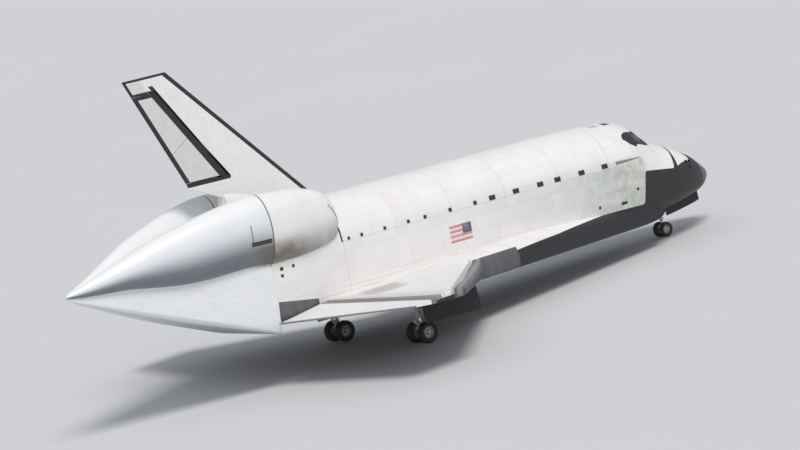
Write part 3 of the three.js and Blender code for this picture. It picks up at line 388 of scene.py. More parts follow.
class Graph:
    """A node tree in which every call adds a node and gives back its output as a signal."""

    def __init__(self, tree):
        self.tree = tree

    def fill(self, socket, value):
        """Links a signal to the socket, or sets it to a number, a vector or a colour without alpha."""
        if isinstance(value, Signal):
            self.tree.links.new(value.socket, socket)
        else:
            socket.default_value = (*value, 1) if socket.type == "RGBA" else value

    def add(self, kind, inputs=(), out=0, **settings):
        node = self.tree.nodes.new(kind)
        for key, value in settings.items():
            setattr(node, key, value)
        for key, value in (inputs.items() if isinstance(inputs, dict) else enumerate(inputs)):
            self.fill(node.inputs[key], value)
        return Signal(self, node.outputs[out])

    def math(self, operation, *values, clamp=False):
        return self.add("ShaderNodeMath", values, operation=operation, use_clamp=clamp)

    def mix(self, factor, a, b):
        """Colour a where the factor is 0, b where it is 1."""
        return self.add("ShaderNodeMix", {0: factor, 6: a, 7: b}, out=2, data_type="RGBA")

    def blend(self, factor, a, b):
        """Value a where the factor is 0, b where it is 1."""
        return self.add("ShaderNodeMix", {0: factor, 2: a, 3: b}, data_type="FLOAT")

    def noise(self, vector, scale, detail=3, roughness=0.55):
        return self.add("ShaderNodeTexNoise", {"Vector": vector, "Scale": scale, "Detail": detail,
                                               "Roughness": roughness})

    def stretch(self, vector, scale):
        return self.add("ShaderNodeMapping", {"Vector": vector, "Scale": scale})

    def vector(self, x, y, z=0):
        return self.add("ShaderNodeCombineXYZ", [x, y, z])

    def split(self, vector):
        node = self.add("ShaderNodeSeparateXYZ", [vector]).socket.node
        return [Signal(self, output) for output in node.outputs]

    def place(self, tree, **inputs):
        """A shader node group with its own values."""
        node = self.tree.nodes.new("ShaderNodeGroup")
        node.node_tree = tree
        for key, value in inputs.items():
            self.fill(node.inputs[key], value)
        return [Signal(self, output) for output in node.outputs]

    def joints(self, place, length, height, stagger, width):
        return self.place(JOINTS, Place=place, Length=length, Height=height, Stagger=stagger, Width=width)

    def weather(self, station, size, streak, low, high):
        return self.place(WEATHER, Station=station, Size=size, Streak=streak, Low=low, High=high)[0]


SOCKETS = {"f": "NodeSocketFloat", "v": "NodeSocketVector"}


def group(name, inputs, outputs, build):
    """Shader node group. Inputs and outputs: name of each, and f for a float or v for a vector."""
    tree = bpy.data.node_groups.new(name, "ShaderNodeTree")
    for way, sockets in (("INPUT", inputs), ("OUTPUT", outputs)):
        for label, kind in sockets.items():
            tree.interface.new_socket(name=label, in_out=way, socket_type=SOCKETS[kind])
    graph, given = Graph(tree), tree.nodes.new("NodeGroupInput")
    results = build(graph, *[Signal(graph, given.outputs[label]) for label in inputs])
    end = tree.nodes.new("NodeGroupOutput")
    for label, result in zip(outputs, results):
        tree.links.new(result.socket, end.inputs[label])
    return tree


def build_stations(g):
    """Station inches of a point, and its place on the skin: (X, Y) where the skin faces up or down,
    (X, Z) where it faces sideways. The third output is 1 where the skin faces down."""
    spot = g.add("ShaderNodeTexCoord", out="Object")
    shift = (X_MIDDLE + (SIN * SHIFT_Z - COS * SHIFT_X) / INCH, 0, (SIN * SHIFT_X + COS * SHIFT_Z) / INCH)
    station = g.add("ShaderNodeMapping", {"Vector": spot, "Location": shift, "Rotation": (0, PITCH, 0),
                                          "Scale": (-1 / INCH, 1 / INCH, 1 / INCH)})
    x, y, z = g.split(station)
    _, across, up = g.split(g.add("ShaderNodeTexCoord", out="Normal"))
    sideways = g.math("GREATER_THAN", abs(across), abs(up))
    return station, g.vector(x, g.blend(sideways, y, z)), up.ramp(-0.02, -0.1)


def build_joints(g, place, length, height, stagger, width):
    """Joints of a staggered grid of panels, and a random shade for each panel."""
    x, y, _ = g.split(place)
    v = y / height
    row = g.math("FLOOR", v)
    u = x / length + stagger * (row % 2)
    across, along = [size * (0.5 - abs(g.math("FRACT", t) - 0.5)) for t, size in ((u, length), (v, height))]
    cell = g.vector(g.math("FLOOR", u), row)
    shade = g.add("ShaderNodeTexWhiteNoise", {"Vector": cell}, out="Value", noise_dimensions="2D")
    return (across & along).ramp(width * 0.6, width * 0.35), shade


def build_weather(g, station, size, streak, low, high):
    """Patches of dirt broken up by a finer noise, streak times as tall as they are long."""
    scale = g.vector(1 / size, 1 / size, 1 / (size * streak))
    drawn = g.add("ShaderNodeVectorMath", [station, scale], operation="MULTIPLY")
    return [(g.noise(drawn, 1, 5, 0.6) * 0.72 + g.noise(drawn, 7, 3, 0.6) * 0.28).ramp(low, high)]


def build_line(g, value, at, width):
    """1 on a thin line where value equals at."""
    return [abs(value - at).ramp(width * 0.62, width * 0.38)]


STATIONS = group("station_coordinates", {}, {"Station": "v", "Plan": "v", "Under": "f"}, build_stations)
JOINTS = group("panel_joints", {"Place": "v", "Length": "f", "Height": "f", "Stagger": "f", "Width": "f"},
               {"Joint": "f", "Shade": "f"}, build_joints)
WEATHER = group("weathering", {"Station": "v", "Size": "f", "Streak": "f", "Low": "f", "High": "f"},
                {"Mask": "f"}, build_weather)
LINE = group("thin_line", {"Value": "f", "At": "f", "Width": "f"}, {"Line": "f"}, build_line)


def material(name, build, **constants):
    """Material whose Principled BSDF takes what build gives: colour, roughness, height and the
    height's distance in metres. Constants are the same all over, and set on the shader's sockets."""
    made = bpy.data.materials.new(name)
    made.use_nodes = True
    g = Graph(made.node_tree)
    sockets = made.node_tree.nodes["Principled BSDF"].inputs
    for key, value in constants.items():
        sockets[key.replace("_", " ")].default_value = value
    tone, rough, height, distance = build(g)
    g.fill(sockets["Base Color"], tone)
    g.fill(sockets["Roughness"], rough)
    if height:
        bump = g.add("ShaderNodeBump", {"Height": height, "Distance": distance, "Strength": 1})
        g.fill(sockets["Normal"], bump)
    return made


def finish_look(g, station, plan, colours, joints, strength, dirt, rough):
    """Colour, roughness and height of a skin of panels or tiles.
    colours: base, second shade, joint, dirt; joints: length, height, stagger, joint width;
    strength: of the joints' colour; dirt: patch size, streak, low, high; rough: least, most."""
    base, second, dark, soil = colours
    lines, shade = g.joints(plan, *joints)
    grain, patch = g.noise(station, 0.9, 4, 0.6), g.weather(station, *dirt)
    tone = g.mix(patch * 0.55, g.mix(shade, base, second), soil)
    tone = g.mix(grain.ramp(0.62, 0.8), g.mix(lines * strength, tone, dark), soil)
    return tone, g.blend((patch + grain) * 0.5, *rough), g.noise(station, 0.35, 2) * 0.3 - lines


def looks(g, *finishes):
    """Station coordinates, the mask of what faces down, and the look of each finish."""
    station, plan, under = g.place(STATIONS)
    return station, under, *[finish_look(g, station, plan, *finish) for finish in finishes]


def over(g, mask, first, second):
    """The first look where the mask is 0, the second where it is 1."""
    return g.mix(mask, first[0], second[0]), *[g.blend(mask, first[k], second[k]) for k in (1, 2)]


# Finishes: colours, joints, their strength, dirt and roughness, as finish_look takes them
WHITE_CLOTH = (((0.78, 0.765, 0.76), (0.745, 0.73, 0.722), (0.58, 0.56, 0.55), (0.66, 0.635, 0.615)),
               (30, 30, 0, 0.8), 0.2, (60, 1.6, 0.48, 0.76), (0.62, 0.85))
WHITE_TILES = (((0.80, 0.79, 0.785), (0.765, 0.755, 0.75), (0.56, 0.55, 0.54), (0.66, 0.64, 0.62)),
               (8, 8, 0, 0.45), 0.2, (45, 0.6, 0.5, 0.78), (0.45, 0.7))
BLACK_TILES = (((0.014, 0.0145, 0.0175), (0.022, 0.0225, 0.026), (0.042, 0.042, 0.045),
                (0.038, 0.037, 0.038)),
               (6, 6, 0.5, 0.4), 0.3, (30, 0.5, 0.5, 0.78), (0.40, 0.62))
PALE_TILES = (((0.655, 0.67, 0.65), (0.615, 0.63, 0.61), (0.46, 0.47, 0.455), (0.52, 0.53, 0.50)),
              (8, 8, 0, 0.45), 0.25, (40, 1.5, 0.48, 0.76), (0.45, 0.7))
SMOOTH_PAINT = (((0.775, 0.785, 0.795), (0.755, 0.77, 0.78), (0.60, 0.62, 0.64), (0.62, 0.63, 0.62)),
                (96, 400, 0, 0.7), 0.1, (90, 0.5, 0.5, 0.82), (0.27, 0.42))
SKIN_DEPTH = 0.002

# Height of the border between black and white on the fuselage's sides. Columns: X, Z
BLACK_BORDER = [(238, 440), (356, 430), (369.6, 401), (381.5, 387.5), (386.4, 369.7), (438, 377),
                (484.3, 383.5), (498.6, 315.5), (579, 317.3), (627, 317.3), (752, 306.6), (858, 299),
                (1100, 284), (1367, 283), (1496, 286)]


def build_black_area(g, station):
    """1 where the fuselage has black tiles: below the border's height, which is a curve over X, but
    for the white patch on top of the nose between two slanting edges."""
    x, y, z = g.split(station)
    start, reach, base, rise = 230, 1270, 250, 200
    height = g.add("ShaderNodeFloatCurve", {"Value": (x - start) / reach})
    mapping = height.socket.node.mapping
    points = mapping.curves[0].points
    last = len(BLACK_BORDER) - 1
    for k, (X, Z) in enumerate(BLACK_BORDER):
        at = ((X - start) / reach, (Z - base) / rise)
        if 0 < k < last:
            points.new(*at)
        else:
            points[0 if k == 0 else -1].location = at
    for point in points:
        point.handle_type = "VECTOR"
    mapping.update()
    below, side, patch = (height * rise + base - z).ramp(-0.25, 0.25), abs(y), z.ramp(350, 352)
    for inches in (side * 0.31 + 349.3 - x, x * 0.45 - 90 - side, x - 317):
        patch = patch * inches.ramp(-0.3, 0.3)
    return [g.math("SUBTRACT", below, patch, clamp=True)]


BLACK_AREA = group("black_tile_area", {"Station": "v"}, {"Mask": "f"}, build_black_area)


def build_fuselage(g):
    """White cloth above black tiles, mottled grey-green round the cabin and brown in two patches on
    its roof, with a mottled blue-grey band low on the sides that is part painted shade and part dirt,
    and streaked dirt below that."""
    station, _, white, black = looks(g, WHITE_CLOTH, BLACK_TILES)
    x, y, z = g.split(station)
    mottle = g.weather(station, 22, 0.8, 0.34, 0.66)
    cabin = x.ramp(760, 560) * x.ramp(470, 492) * z.ramp(425, 408) * g.blend(mottle, 0.4, 1)
    tone = g.mix(cabin, white[0], (0.43, 0.46, 0.415))
    # Band low on the sides: painted shade of the upright side, mottled and mixed with dirt
    band = z.ramp(414, 400) * z.ramp(318, 352) * x.ramp(1060, 660) * x.ramp(566, 590)
    tone = g.mix(band * g.blend(mottle, 0.45, 1) * 0.55, tone, (0.53, 0.55, 0.585))
    roof = abs(y).within(7, 27, 6) * x.within(528, 550, 7) * z.ramp(470, 474)
    tone = g.mix(roof * g.blend(mottle, 0.35, 0.8), tone, (0.2, 0.17, 0.14))
    streak = g.noise(g.stretch(station, (0.006, 1, 0.22)), 1, 3).ramp(0.52, 0.66)
    tone = g.mix(streak * z.ramp(345, 318) * x.ramp(640, 720) * 0.5, tone, (0.62, 0.50, 0.46))
    joint = x.lines(1.2, X_NOSE_CAP, X_JET_MODULE, X_BAY_FRONT, X_BAY_BACK)
    tone = g.mix(joint * 0.3, tone, (0.25, 0.245, 0.24))
    tone, rough, height = over(g, g.place(BLACK_AREA, Station=station)[0], (tone, *white[1:]), black)
    return tone, rough, height - joint, SKIN_DEPTH


def build_door(g):
    """White cloth with painted blue-grey shade towards the hinge, and the joints between the door's five
    lengths.
    """
    station, _, (tone, rough, height) = looks(g, WHITE_CLOTH)
    x, _, z = g.split(station)
    # Painted shade: blue-grey on the door's lower part, towards the hinge
    tone = g.mix(z.ramp(436, 412) * x.ramp(1060, 660) * 0.4, tone, (0.56, 0.58, 0.615))
    joint = x.lines(1.2, 727, 872, 1017, 1162)
    return g.mix(joint * 0.35, tone, (0.36, 0.35, 0.34)), rough, height - joint, SKIN_DEPTH


def behind_sweep(x, side):
    """Distance behind the wing's swept leading edge, square to it."""
    return (x - X_SWEEP - side) * SWEEP_SHARE


def build_wing(g):
    """White tiles above and black tiles below and along the glove's edge, where the black strip
    narrows aft in two straight stretches. Grey ahead of the elevon hinge, with the dark seams of the
    doors over it, grey behind the leading edge, a ragged mauve patch, and pinkish brown patches at the
    root."""
    station, under, white, black = looks(g, WHITE_TILES, BLACK_TILES)
    x, y, _ = g.split(station)
    side = abs(y)
    from_edge = (x - X_GLOVE) / GLOVE_SLOPE + Y_ROOT - side
    ahead = 778 - x
    strip = ((ahead * 0.0728 | ahead * 0.0387) + 9 - from_edge).ramp(-0.2, 0.2) * x.ramp(952, 948)
    ribs = g.math("FRACT", y / 26).lines(0.05, 0.5)
    hinge = x.lines(1.4, 1360) | x.ramp(1366, 1368) * 0.95 | ribs * x.ramp(1360, 1361) * 0.6
    tone = g.mix(x.ramp(1334, 1342) * 0.5, white[0], (0.56, 0.565, 0.57))
    tone = g.mix(hinge * 0.8, tone, (0.10, 0.097, 0.095))
    band = behind_sweep(x, side).ramp(29, 28) * x.ramp(1050, 1058)
    tone = g.mix(band * 0.8, tone, (0.35, 0.355, 0.37))
    from_patch = g.add("ShaderNodeVectorMath", [g.vector((x - 1304) / 46, (side - 202) / 62)], out="Value",
                       operation="LENGTH")
    ragged = g.blend(0.5, from_patch, g.blend(0.62, 1, g.noise(station, 0.05, 3)))
    tone = g.mix(ragged.ramp(0.92, 0.6) * 0.62, tone, (0.36, 0.28, 0.29))
    root = side.ramp(210, 120) * g.weather(station, 46, 1, 0.46, 0.7) * x.ramp(700, 820)
    tone = g.mix(root * 0.42, tone, (0.62, 0.50, 0.45))
    return *over(g, under | strip, (tone, white[1], white[2] - hinge), black), SKIN_DEPTH


def build_elevon(g):
    """White tiles above with a dark rubbing strip behind the hinge and a dark trailing edge, black
    tiles below."""
    station, under, white, black = looks(g, WHITE_TILES, BLACK_TILES)
    x, y, _ = g.split(station)
    edge = (abs(y) * ELEVON_TAPER + x).ramp(X_ELEVON_BACK - 8, X_ELEVON_BACK - 6.5)
    tone = g.mix(x.ramp(1397, 1395) * 0.85 | edge * 0.85, white[0], (0.09, 0.087, 0.085))
    return *over(g, under, (tone, *white[1:]), black), SKIN_DEPTH


def build_fin(g):
    """White tiles with a black stripe along the leading edge, a black band ahead of the hinge whose
    lower front corner is cut off, a black tip and a pale strip above the rudder."""
    station, _, white, black, pale = looks(g, WHITE_TILES, BLACK_TILES, PALE_TILES)
    x, _, z = g.split(station)
    aft, from_back = x - rudder_hinge_x(z), fin_back_x(z) - x
    band = (aft + z.ramp(670, 587) * 2.6).ramp(-10.5, -10) * (z - 577 + aft).ramp(-4, -3)
    band = band * z.ramp(580.3, 580.8) * z.ramp(789.5, 789)
    peak = aft.ramp(-10.5, -10) * aft.ramp(1, 0) * z.ramp(799, 797.5) * z.ramp(700, 701)
    back = from_back.ramp(6.6, 6.1) * z.ramp(786, 787)
    mask = (x - fin_lead_x(z)).ramp(15, 14.5) | band | peak | z.ramp(813.8, 814.4) | back
    tone = g.mix(aft.ramp(2, 16) * z.ramp(789, 789.5), white[0], pale[0])
    return *over(g, mask, (tone, *white[1:]), black), SKIN_DEPTH


def build_rudder(g):
    """Pale grey tiles inside black borders, wider at the hinge than at the trailing edge, and a seam
    square to the hinge in the middle. The faces towards the plane of symmetry are black."""
    station, _, pale, black = looks(g, PALE_TILES, BLACK_TILES)
    x, y, z = g.split(station)
    inside = (x - rudder_hinge_x(z)).ramp(11, 11.5) * (fin_back_x(z) - x).ramp(10, 10.5)
    inside = inside * (776 - z).ramp(0, 0.5) * (z - 591).ramp(0, 0.5) * abs(y).ramp(0.6, 0.75)
    seam = (x * 0.682 + z).lines(1.5, 1610 * 0.682 + 655.6)
    tone = g.mix(seam * 0.7, pale[0], (0.16, 0.165, 0.16))
    return *over(g, inside, black, (tone, *pale[1:])), SKIN_DEPTH


def build_pod(g):
    """White cloth with grey, mottled painted shade on its lower half, olive brown low on its aft outer
    side and paler brown ahead of that, with a painted shadow line bent round its front and a dark seam
    at the tail cone."""
    station, _, (tone, rough, height) = looks(g, WHITE_CLOTH)
    x, y, z = g.split(station)
    side = abs(y)
    brown = g.weather(station, 30, 0.8, 0.3, 0.6)
    # Painted shade on the lower half, mottled by the same noise that shapes the brown patches
    tone = g.mix(z.ramp(478, 424) * g.blend(brown, 0.5, 0.85), tone, (0.44, 0.44, 0.43))
    for start, full, top, low, strength in ((1318, 1420, 448, 408, 0.6), (1385, 1478, 460, 428, 0.95)):
        area = x.ramp(start, full) * z.ramp(top, low) * g.blend(brown, 0.5, 1)
        tone = g.mix(area * strength, tone, (0.17, 0.145, 0.105))
    # Painted shadow line of the gap round the pod's front, bent to its outline
    above = z - 461
    front = (x - 1317 - (above * 0.64 | above * 0.137)).lines(3.2, 0)
    tone = g.mix(front * z.within(404, 494) * side.ramp(97, 100) * 0.85, tone, (0.05, 0.05, 0.052))
    seam = x.ramp(1494.2, 1494.8) * side.ramp(34, 36)
    return g.mix(seam * 0.8, tone, (0.08, 0.08, 0.085)), rough, height - seam, SKIN_DEPTH


def build_cone(g):
    """Smooth bluish-white paint in wide sheets, with streaked painted shade on the flat sides, painted shade
    on the humps' sides and a dark painted reflection and shade under them, darker along the belly, brown
    where it meets the pods, with a slot, a line and a seam."""
    station, _, (tone, rough, height) = looks(g, SMOOTH_PAINT)
    x, y, z = g.split(station)
    _, across, facing = g.split(g.add("ShaderNodeTexCoord", out="Normal"))
    side = abs(y)
    # Painted shade on the flat sides, which face sideways, broken into streaks
    streak = g.blend(g.noise(g.stretch(station, (0.004, 0.12, 0.16)), 1, 3).ramp(0.42, 0.62), 0.1, 0.3)
    tone = g.mix(abs(across).ramp(0.93, 0.96) * z.ramp(430, 428) * streak, tone, (0.60, 0.655, 0.67))
    hump = (side + (x * 0.25 - 481.5)).ramp(0.6, 3)
    # Painted shade on the humps where they turn from up to sideways, then a dark painted reflection and shade
    # where they face down
    tone = g.mix(facing.ramp(0.62, 0.05) * hump * 0.32, tone, (0.46, 0.52, 0.56))
    tone = g.mix(facing.ramp(0.22, -0.36) * hump * 0.88, tone, (0.10, 0.125, 0.155))
    from_belly = z - ((x - X_BASE) * 0.372 + 262)
    tone = g.mix(from_belly.ramp(7, 2) * 0.5, tone, (0.36, 0.40, 0.43))
    brown = x.ramp(1552, 1506) * z.within(404, 446, 6) * side.ramp(66, 72)
    tone = g.mix(brown * 0.9, tone, (0.13, 0.115, 0.09))
    slot = x.within(1500, 1546) * z.within(450.4, 459.4)
    line = x.within(1541, 1543.2, 0.3) * z.within(457, 493)
    seam = x.ramp(1498, 1497.4) * z.ramp(398, 402)
    dark = side.ramp(98, 100) * (slot | line * 0.8) | seam * 0.8
    return g.mix(dark, tone, (0.03, 0.03, 0.034)), rough, height - dark, 0.0008


def plain(name, base, second, rough, size=12, metallic=0, depth=0.0005, **constants):
    """Worn even finish: two close shades in patches, with fine grain in colour, gloss and height."""
    def build(g):
        station = g.place(STATIONS)[0]
        patch, grain = g.weather(station, size, 1, 0.35, 0.7), g.noise(station, 2.5, 3)
        tone = g.mix(g.blend(0.3, patch, grain), base, second)
        return tone, g.blend(grain, *rough), g.blend(0.5, grain, patch), depth
    return material(name, build, Metallic=metallic, **constants)


def build_carbon(g):
    """Grey reinforced carbon in panels across the leading edge: dark at the front, with a lighter
    weathered band behind it."""
    station = g.place(STATIONS)[0]
    x, y, _ = g.split(station)
    side = abs(y)
    panel_length = 19.5
    share = (x + side) * SWEEP_SHARE / panel_length
    gap = g.math("FRACT", share).lines(0.05, 0.5)
    panel = g.add("ShaderNodeTexWhiteNoise", {"W": g.math("FLOOR", share + 0.5)}, out="Value",
                  noise_dimensions="1D")
    patch = g.weather(station, 18, 0.5, 0.4, 0.7)
    behind = behind_sweep(x, side)
    tone = g.mix(g.blend(0.5, panel, patch), (0.085, 0.087, 0.095), (0.13, 0.132, 0.14))
    light = behind.ramp(6, 9) * behind.ramp(19, 15) * g.blend(patch, 0.45, 0.75)
    tone = g.mix(light, tone, (0.33, 0.335, 0.345))
    return g.mix(gap * 0.6, tone, (0.03, 0.03, 0.032)), g.blend(patch, 0.38, 0.6), patch - gap, 0.0015


def build_nose_cap(g):
    """Grey carbon in two shades, with a dark seam at its rear."""
    station = g.place(STATIONS)[0]
    patch = g.weather(station, 14, 1, 0.35, 0.7)
    edge = g.split(station)[0].lines(1.2, 282)
    tone = g.mix(patch, (0.075, 0.076, 0.082), (0.12, 0.121, 0.128))
    return g.mix(edge, tone, (0.03, 0.03, 0.03)), g.blend(patch, 0.32, 0.55), patch - edge, 0.001


FLAG = {"x0": 974, "x1": 1032, "z0": 346, "z1": 381}
STRIPE_HEIGHT = (FLAG["z1"] - FLAG["z0"]) / 7


def build_stripes(g):
    """Seven red and white stripes with a dark blue upper front corner, faded and dusty."""
    station = g.place(STATIONS)[0]
    x, _, z = g.split(station)
    stripe = (z - FLAG["z0"]) / STRIPE_HEIGHT
    tone = g.mix(abs(stripe % 2 - 0.5).ramp(0.53, 0.47), (0.72, 0.66, 0.66), (0.56, 0.235, 0.23))
    tone = g.mix(x.ramp(998.3, 997.7) * stripe.ramp(2.97, 3.03), tone, (0.085, 0.08, 0.16))
    dust = g.weather(station, 16, 0.8, 0.4, 0.75)
    return g.mix(dust * 0.4, tone, (0.62, 0.56, 0.54)), g.blend(dust, 0.5, 0.75), dust, 0.0004


def build_liner(g):
    """Quilted cloth of the payload bay: soft squares with stitched lines and grey smudges."""
    station = g.place(STATIONS)[0]
    x, y, z = g.split(station)
    along = g.math("ARCTAN2", y, Z_BAY_CENTRE - z) * BAY_RADIUS
    lines, shade = g.joints(g.vector(x, along), 14.5, 14, 0, 0.7)
    smudge = g.weather(station, 34, 1, 0.42, 0.72)
    tone = g.mix(smudge * 0.5, g.mix(shade, (0.70, 0.69, 0.65), (0.64, 0.63, 0.59)), (0.46, 0.45, 0.42))
    return g.mix(lines * 0.5, tone, (0.33, 0.32, 0.30)), g.blend(smudge, 0.7, 0.92), smudge - lines, 0.004


def build_radiator(g):
    """Silvery film in four panels with fine tube lines along them."""
    station = g.place(STATIONS)[0]
    x, y, z = g.split(station)
    panels = x.lines(2, 772, 945, 1118)
    tubes = g.math("FRACT", g.math("ARCTAN2", y, z - Z_BAY_CENTRE) * 48).lines(0.16, 0.5)
    patch = g.weather(station, 40, 0.5, 0.4, 0.7)
    tone = g.mix(patch, (0.80, 0.82, 0.86), (0.62, 0.65, 0.70))
    tone = g.mix(panels * 0.8 | tubes * 0.3, tone, (0.22, 0.23, 0.25))
    return tone, g.blend(patch, 0.1, 0.24), tubes * 0.4 - panels, SKIN_DEPTH


FUSELAGE = material("fuselage_blankets_and_tiles", build_fuselage)
STRIPES = material("faded_stripes", build_stripes)
DOOR_SKIN = material("bay_door_skin", build_door)
WING_SKIN = material("wing_tiles", build_wing)
ELEVON_SKIN = material("elevon_tiles", build_elevon)
FIN_SKIN = material("fin_tiles", build_fin)
RUDDER_SKIN = material("rudder_tiles", build_rudder)
POD_SKIN = material("pod_blankets", build_pod)
CONE_PAINT = material("cone_paint", build_cone, Coat_Weight=0.3, Coat_Roughness=0.28)
CARBON = material("leading_edge_carbon", build_carbon)
NOSE_CARBON = material("nose_cap_carbon", build_nose_cap)
BAY_LINER = material("bay_liner", build_liner)
RADIATOR = material("radiator_film", build_radiator, Metallic=0.75)
BLACK_TILE = plain("black_tile", (0.016, 0.0165, 0.019), (0.03, 0.03, 0.034), (0.42, 0.62))
DARK_FITTING = plain("dark_fitting", (0.016, 0.016, 0.018), (0.04, 0.039, 0.038), (0.4, 0.6), 5)
STEEL = plain("gear_steel", (0.50, 0.51, 0.52), (0.36, 0.36, 0.36), (0.25, 0.5), 6, 0.85)
CHROME = plain("oleo_chrome", (0.80, 0.80, 0.81), (0.66, 0.66, 0.67), (0.06, 0.16), 5, 1, 0.0001)
GEAR_PAINT = plain("gear_white_paint", (0.74, 0.74, 0.73), (0.52, 0.50, 0.47), (0.35, 0.6), 9)
RUBBER = plain("tyre_rubber", (0.022, 0.022, 0.023), (0.06, 0.058, 0.055), (0.68, 0.92), 7, 0, 0.001)
CABIN_GREY = plain("cabin_grey", (0.30, 0.32, 0.34), (0.22, 0.235, 0.25), (0.5, 0.7), 9)
SEAL_CLOTH = plain("seal_cloth", (0.74, 0.73, 0.72), (0.62, 0.61, 0.60), (0.65, 0.85), 16)
GREY_PLATE = plain("grey_plate_above_elevon", (0.085, 0.092, 0.105), (0.14, 0.145, 0.155), (0.35, 0.6), 14)
WEATHERED = plain("weathered_strip", (0.15, 0.155, 0.145), (0.23, 0.235, 0.22), (0.6, 0.8), 10)
PRIMER = plain("well_primer", (0.50, 0.52, 0.42), (0.38, 0.40, 0.32), (0.5, 0.75), 10)
HOSE = plain("black_hose", (0.02, 0.02, 0.021), (0.045, 0.044, 0.043), (0.5, 0.7), 3)
GLASS = plain("window_glass", (0.010, 0.012, 0.015), (0.018, 0.021, 0.026), (0.03, 0.09), 20, 0, 0.0001,
              Specular_IOR_Level=0.22, Coat_Weight=0.1, Coat_Roughness=0.02)
ENGINE_METAL = plain("engine_metal", (0.42, 0.42, 0.42), (0.30, 0.29, 0.28), (0.3, 0.5), 12, 0.7)

# Fuselage shapes

BODY_X = np.concatenate([X_NOSE + np.linspace(0.02, 1, 60) ** 2 * 200, np.arange(442, 600, 4),
                         np.arange(610, 1496, 22), [1496]])


def body_rows(X):
    """Columns of the fuselage's table at each X."""
    return rows_at(BODY, X, lambda x: np.sqrt(np.maximum(x - X_NOSE, 0))).T


def body_rings(X, inset=0.0, points=128):
    """Superellipse sections |y/w|^n + |z/h|^n = 1 at each X, drawn in by inset."""
    bottom, mid, top, width, above, below = (column[:, None] for column in body_rows(X))
    angle = np.arange(points) * 2 * math.pi / points - math.pi / 2
    c, s = np.cos(angle), np.sin(angle)
    c, s = np.where(abs(c) < 1e-9, 0, c), np.where(abs(s) < 1e-9, 0, s)
    power = 2 / np.where(s > 0, above, below)
    height = np.where(s > 0, top - mid, mid - bottom) - inset
    y = (width - inset) * np.sign(c) * abs(c) ** power
    z = mid + height * np.sign(s) * abs(s) ** power
    return grid(X[:, None], y, z)


def body_solid(inset=0.0):
    """The whole fuselage drawn in by inset, without the stations of the nose that are too slim."""
    _, mid, top, width, _, _ = body_rows(BODY_X)
    kept = (np.minimum(top - mid, width) > inset + 1) | (inset <= 0)
    return tube(body_rings(BODY_X[kept], inset))


def body_top(X, Y, proud=0.0):
    """Height of the upper skin over X and Y."""
    _, mid, top, width, above, _ = body_rows(np.ravel(X))
    shape = np.shape(X)
    share = np.clip(1 - (abs(np.ravel(Y)) / (width + proud)) ** above, 0, 1) ** (1 / above)
    return (mid + (top - mid + proud) * share).reshape(shape)


def body_side(X, Z, proud=0.0):
    """Distance of the side skin from the plane of symmetry at X and Z."""
    bottom, mid, top, width, above, below = body_rows(np.ravel(X))
    z = np.ravel(Z)
    up = z > mid
    power = np.where(up, above, below)
    height = np.where(up, top - mid, mid - bottom) + proud
    share = np.clip(1 - (abs(z - mid) / height) ** power, 0, 1) ** (1 / power)
    return ((width + proud) * share).reshape(np.shape(X))


def side_patch(corners, proud=0.25, deep=0.6, steps=(8, 6)):
    """Thin plate on the port side between four corners (X, Z), following the skin."""
    a, b, c, d = (np.array(corner, float) for corner in corners)
    u, v = np.meshgrid(np.linspace(0, 1, steps[0] + 1), np.linspace(0, 1, steps[1] + 1), indexing="ij")
    u, v = u[..., None], v[..., None]
    flat = a * (1 - u) * (1 - v) + b * u * (1 - v) + c * u * v + d * (1 - u) * v
    X, Z = flat[..., 0], flat[..., 1]
    return between(grid(X, body_side(X, Z, proud), Z), grid(X, body_side(X, Z) - deep, Z))


def rectangle(x0, x1, z0, z1):
    """Corners (X, Z) of a rectangle, in order."""
    return [(x0, z0), (x1, z0), (x1, z1), (x0, z1)]


body = body_solid()
inner_body = body_solid(CABIN_WALL)
# Wheel wells: X, Y and top. The lining of each is made with the gear doors
NOSE_WELL, MAIN_WELL = (282, 382.5, -20, 20, 336), (1040, 1192, 110, 166, 312)
nose_well = box(*NOSE_WELL[:4], LOW, NOSE_WELL[4])
attach_boss = bar((388.15, 0, 282), (388.15, 0, 300), 4)

nose_cap = cut(body, ("&", slab(AHEAD, X_NOSE_CAP)))
piece("nose_cap_skin", nose_cap, "airframe", NOSE_CARBON, ["nose_cap"])

# Jets of the nose module. Columns: X, Y or Z of the mouth, direction (forward, port, up), radius
JETS = [(306, y, (0.75, 0, 0.66), 3.8) for y in (0, 11, -11)]
JETS += [(371, y, (0, 0, 1), 4.2) for y in (0, 12.5, -12.5)]
SIDE_JETS = [(322, 371, (0, 1, 0.12), 4.2), (336, 373, (0, 1, 0.12), 4.2), (332, 360, (0, 0.8, -0.6), 4.0)]


def jet_mouths(reach=6):
    """Start, end and radius of a cylinder at each jet's mouth, to reach inches inside and outside."""
    mouths = [((X, Y, float(body_top(X, Y))), way, radius) for X, Y, way, radius in JETS]
    for X, Z, way, radius in SIDE_JETS:
        y = float(body_side(X, Z))
        mouths += [((X, side * y, Z), (way[0], side * way[1], way[2]), radius) for side in (1, -1)]
    for at, way, radius in mouths:
        step = np.array([-way[0], way[1], way[2]]) / np.linalg.norm(way) * reach
        yield to_row(np.array(at) - step), to_row(np.array(at) + step), radius


mouth_tools = [rod(*mouth, segments=32) for mouth in jet_mouths()]
module = cut(body, ("&", slab(X_NOSE_CAP + SEAM, X_JET_MODULE - SEAM, Z_CABIN_DECK + SEAM)),
             *[("-", tool) for tool in mouth_tools])
piece("nose_jet_module_skin", module, "airframe", FUSELAGE, ["forward_jet_module"])


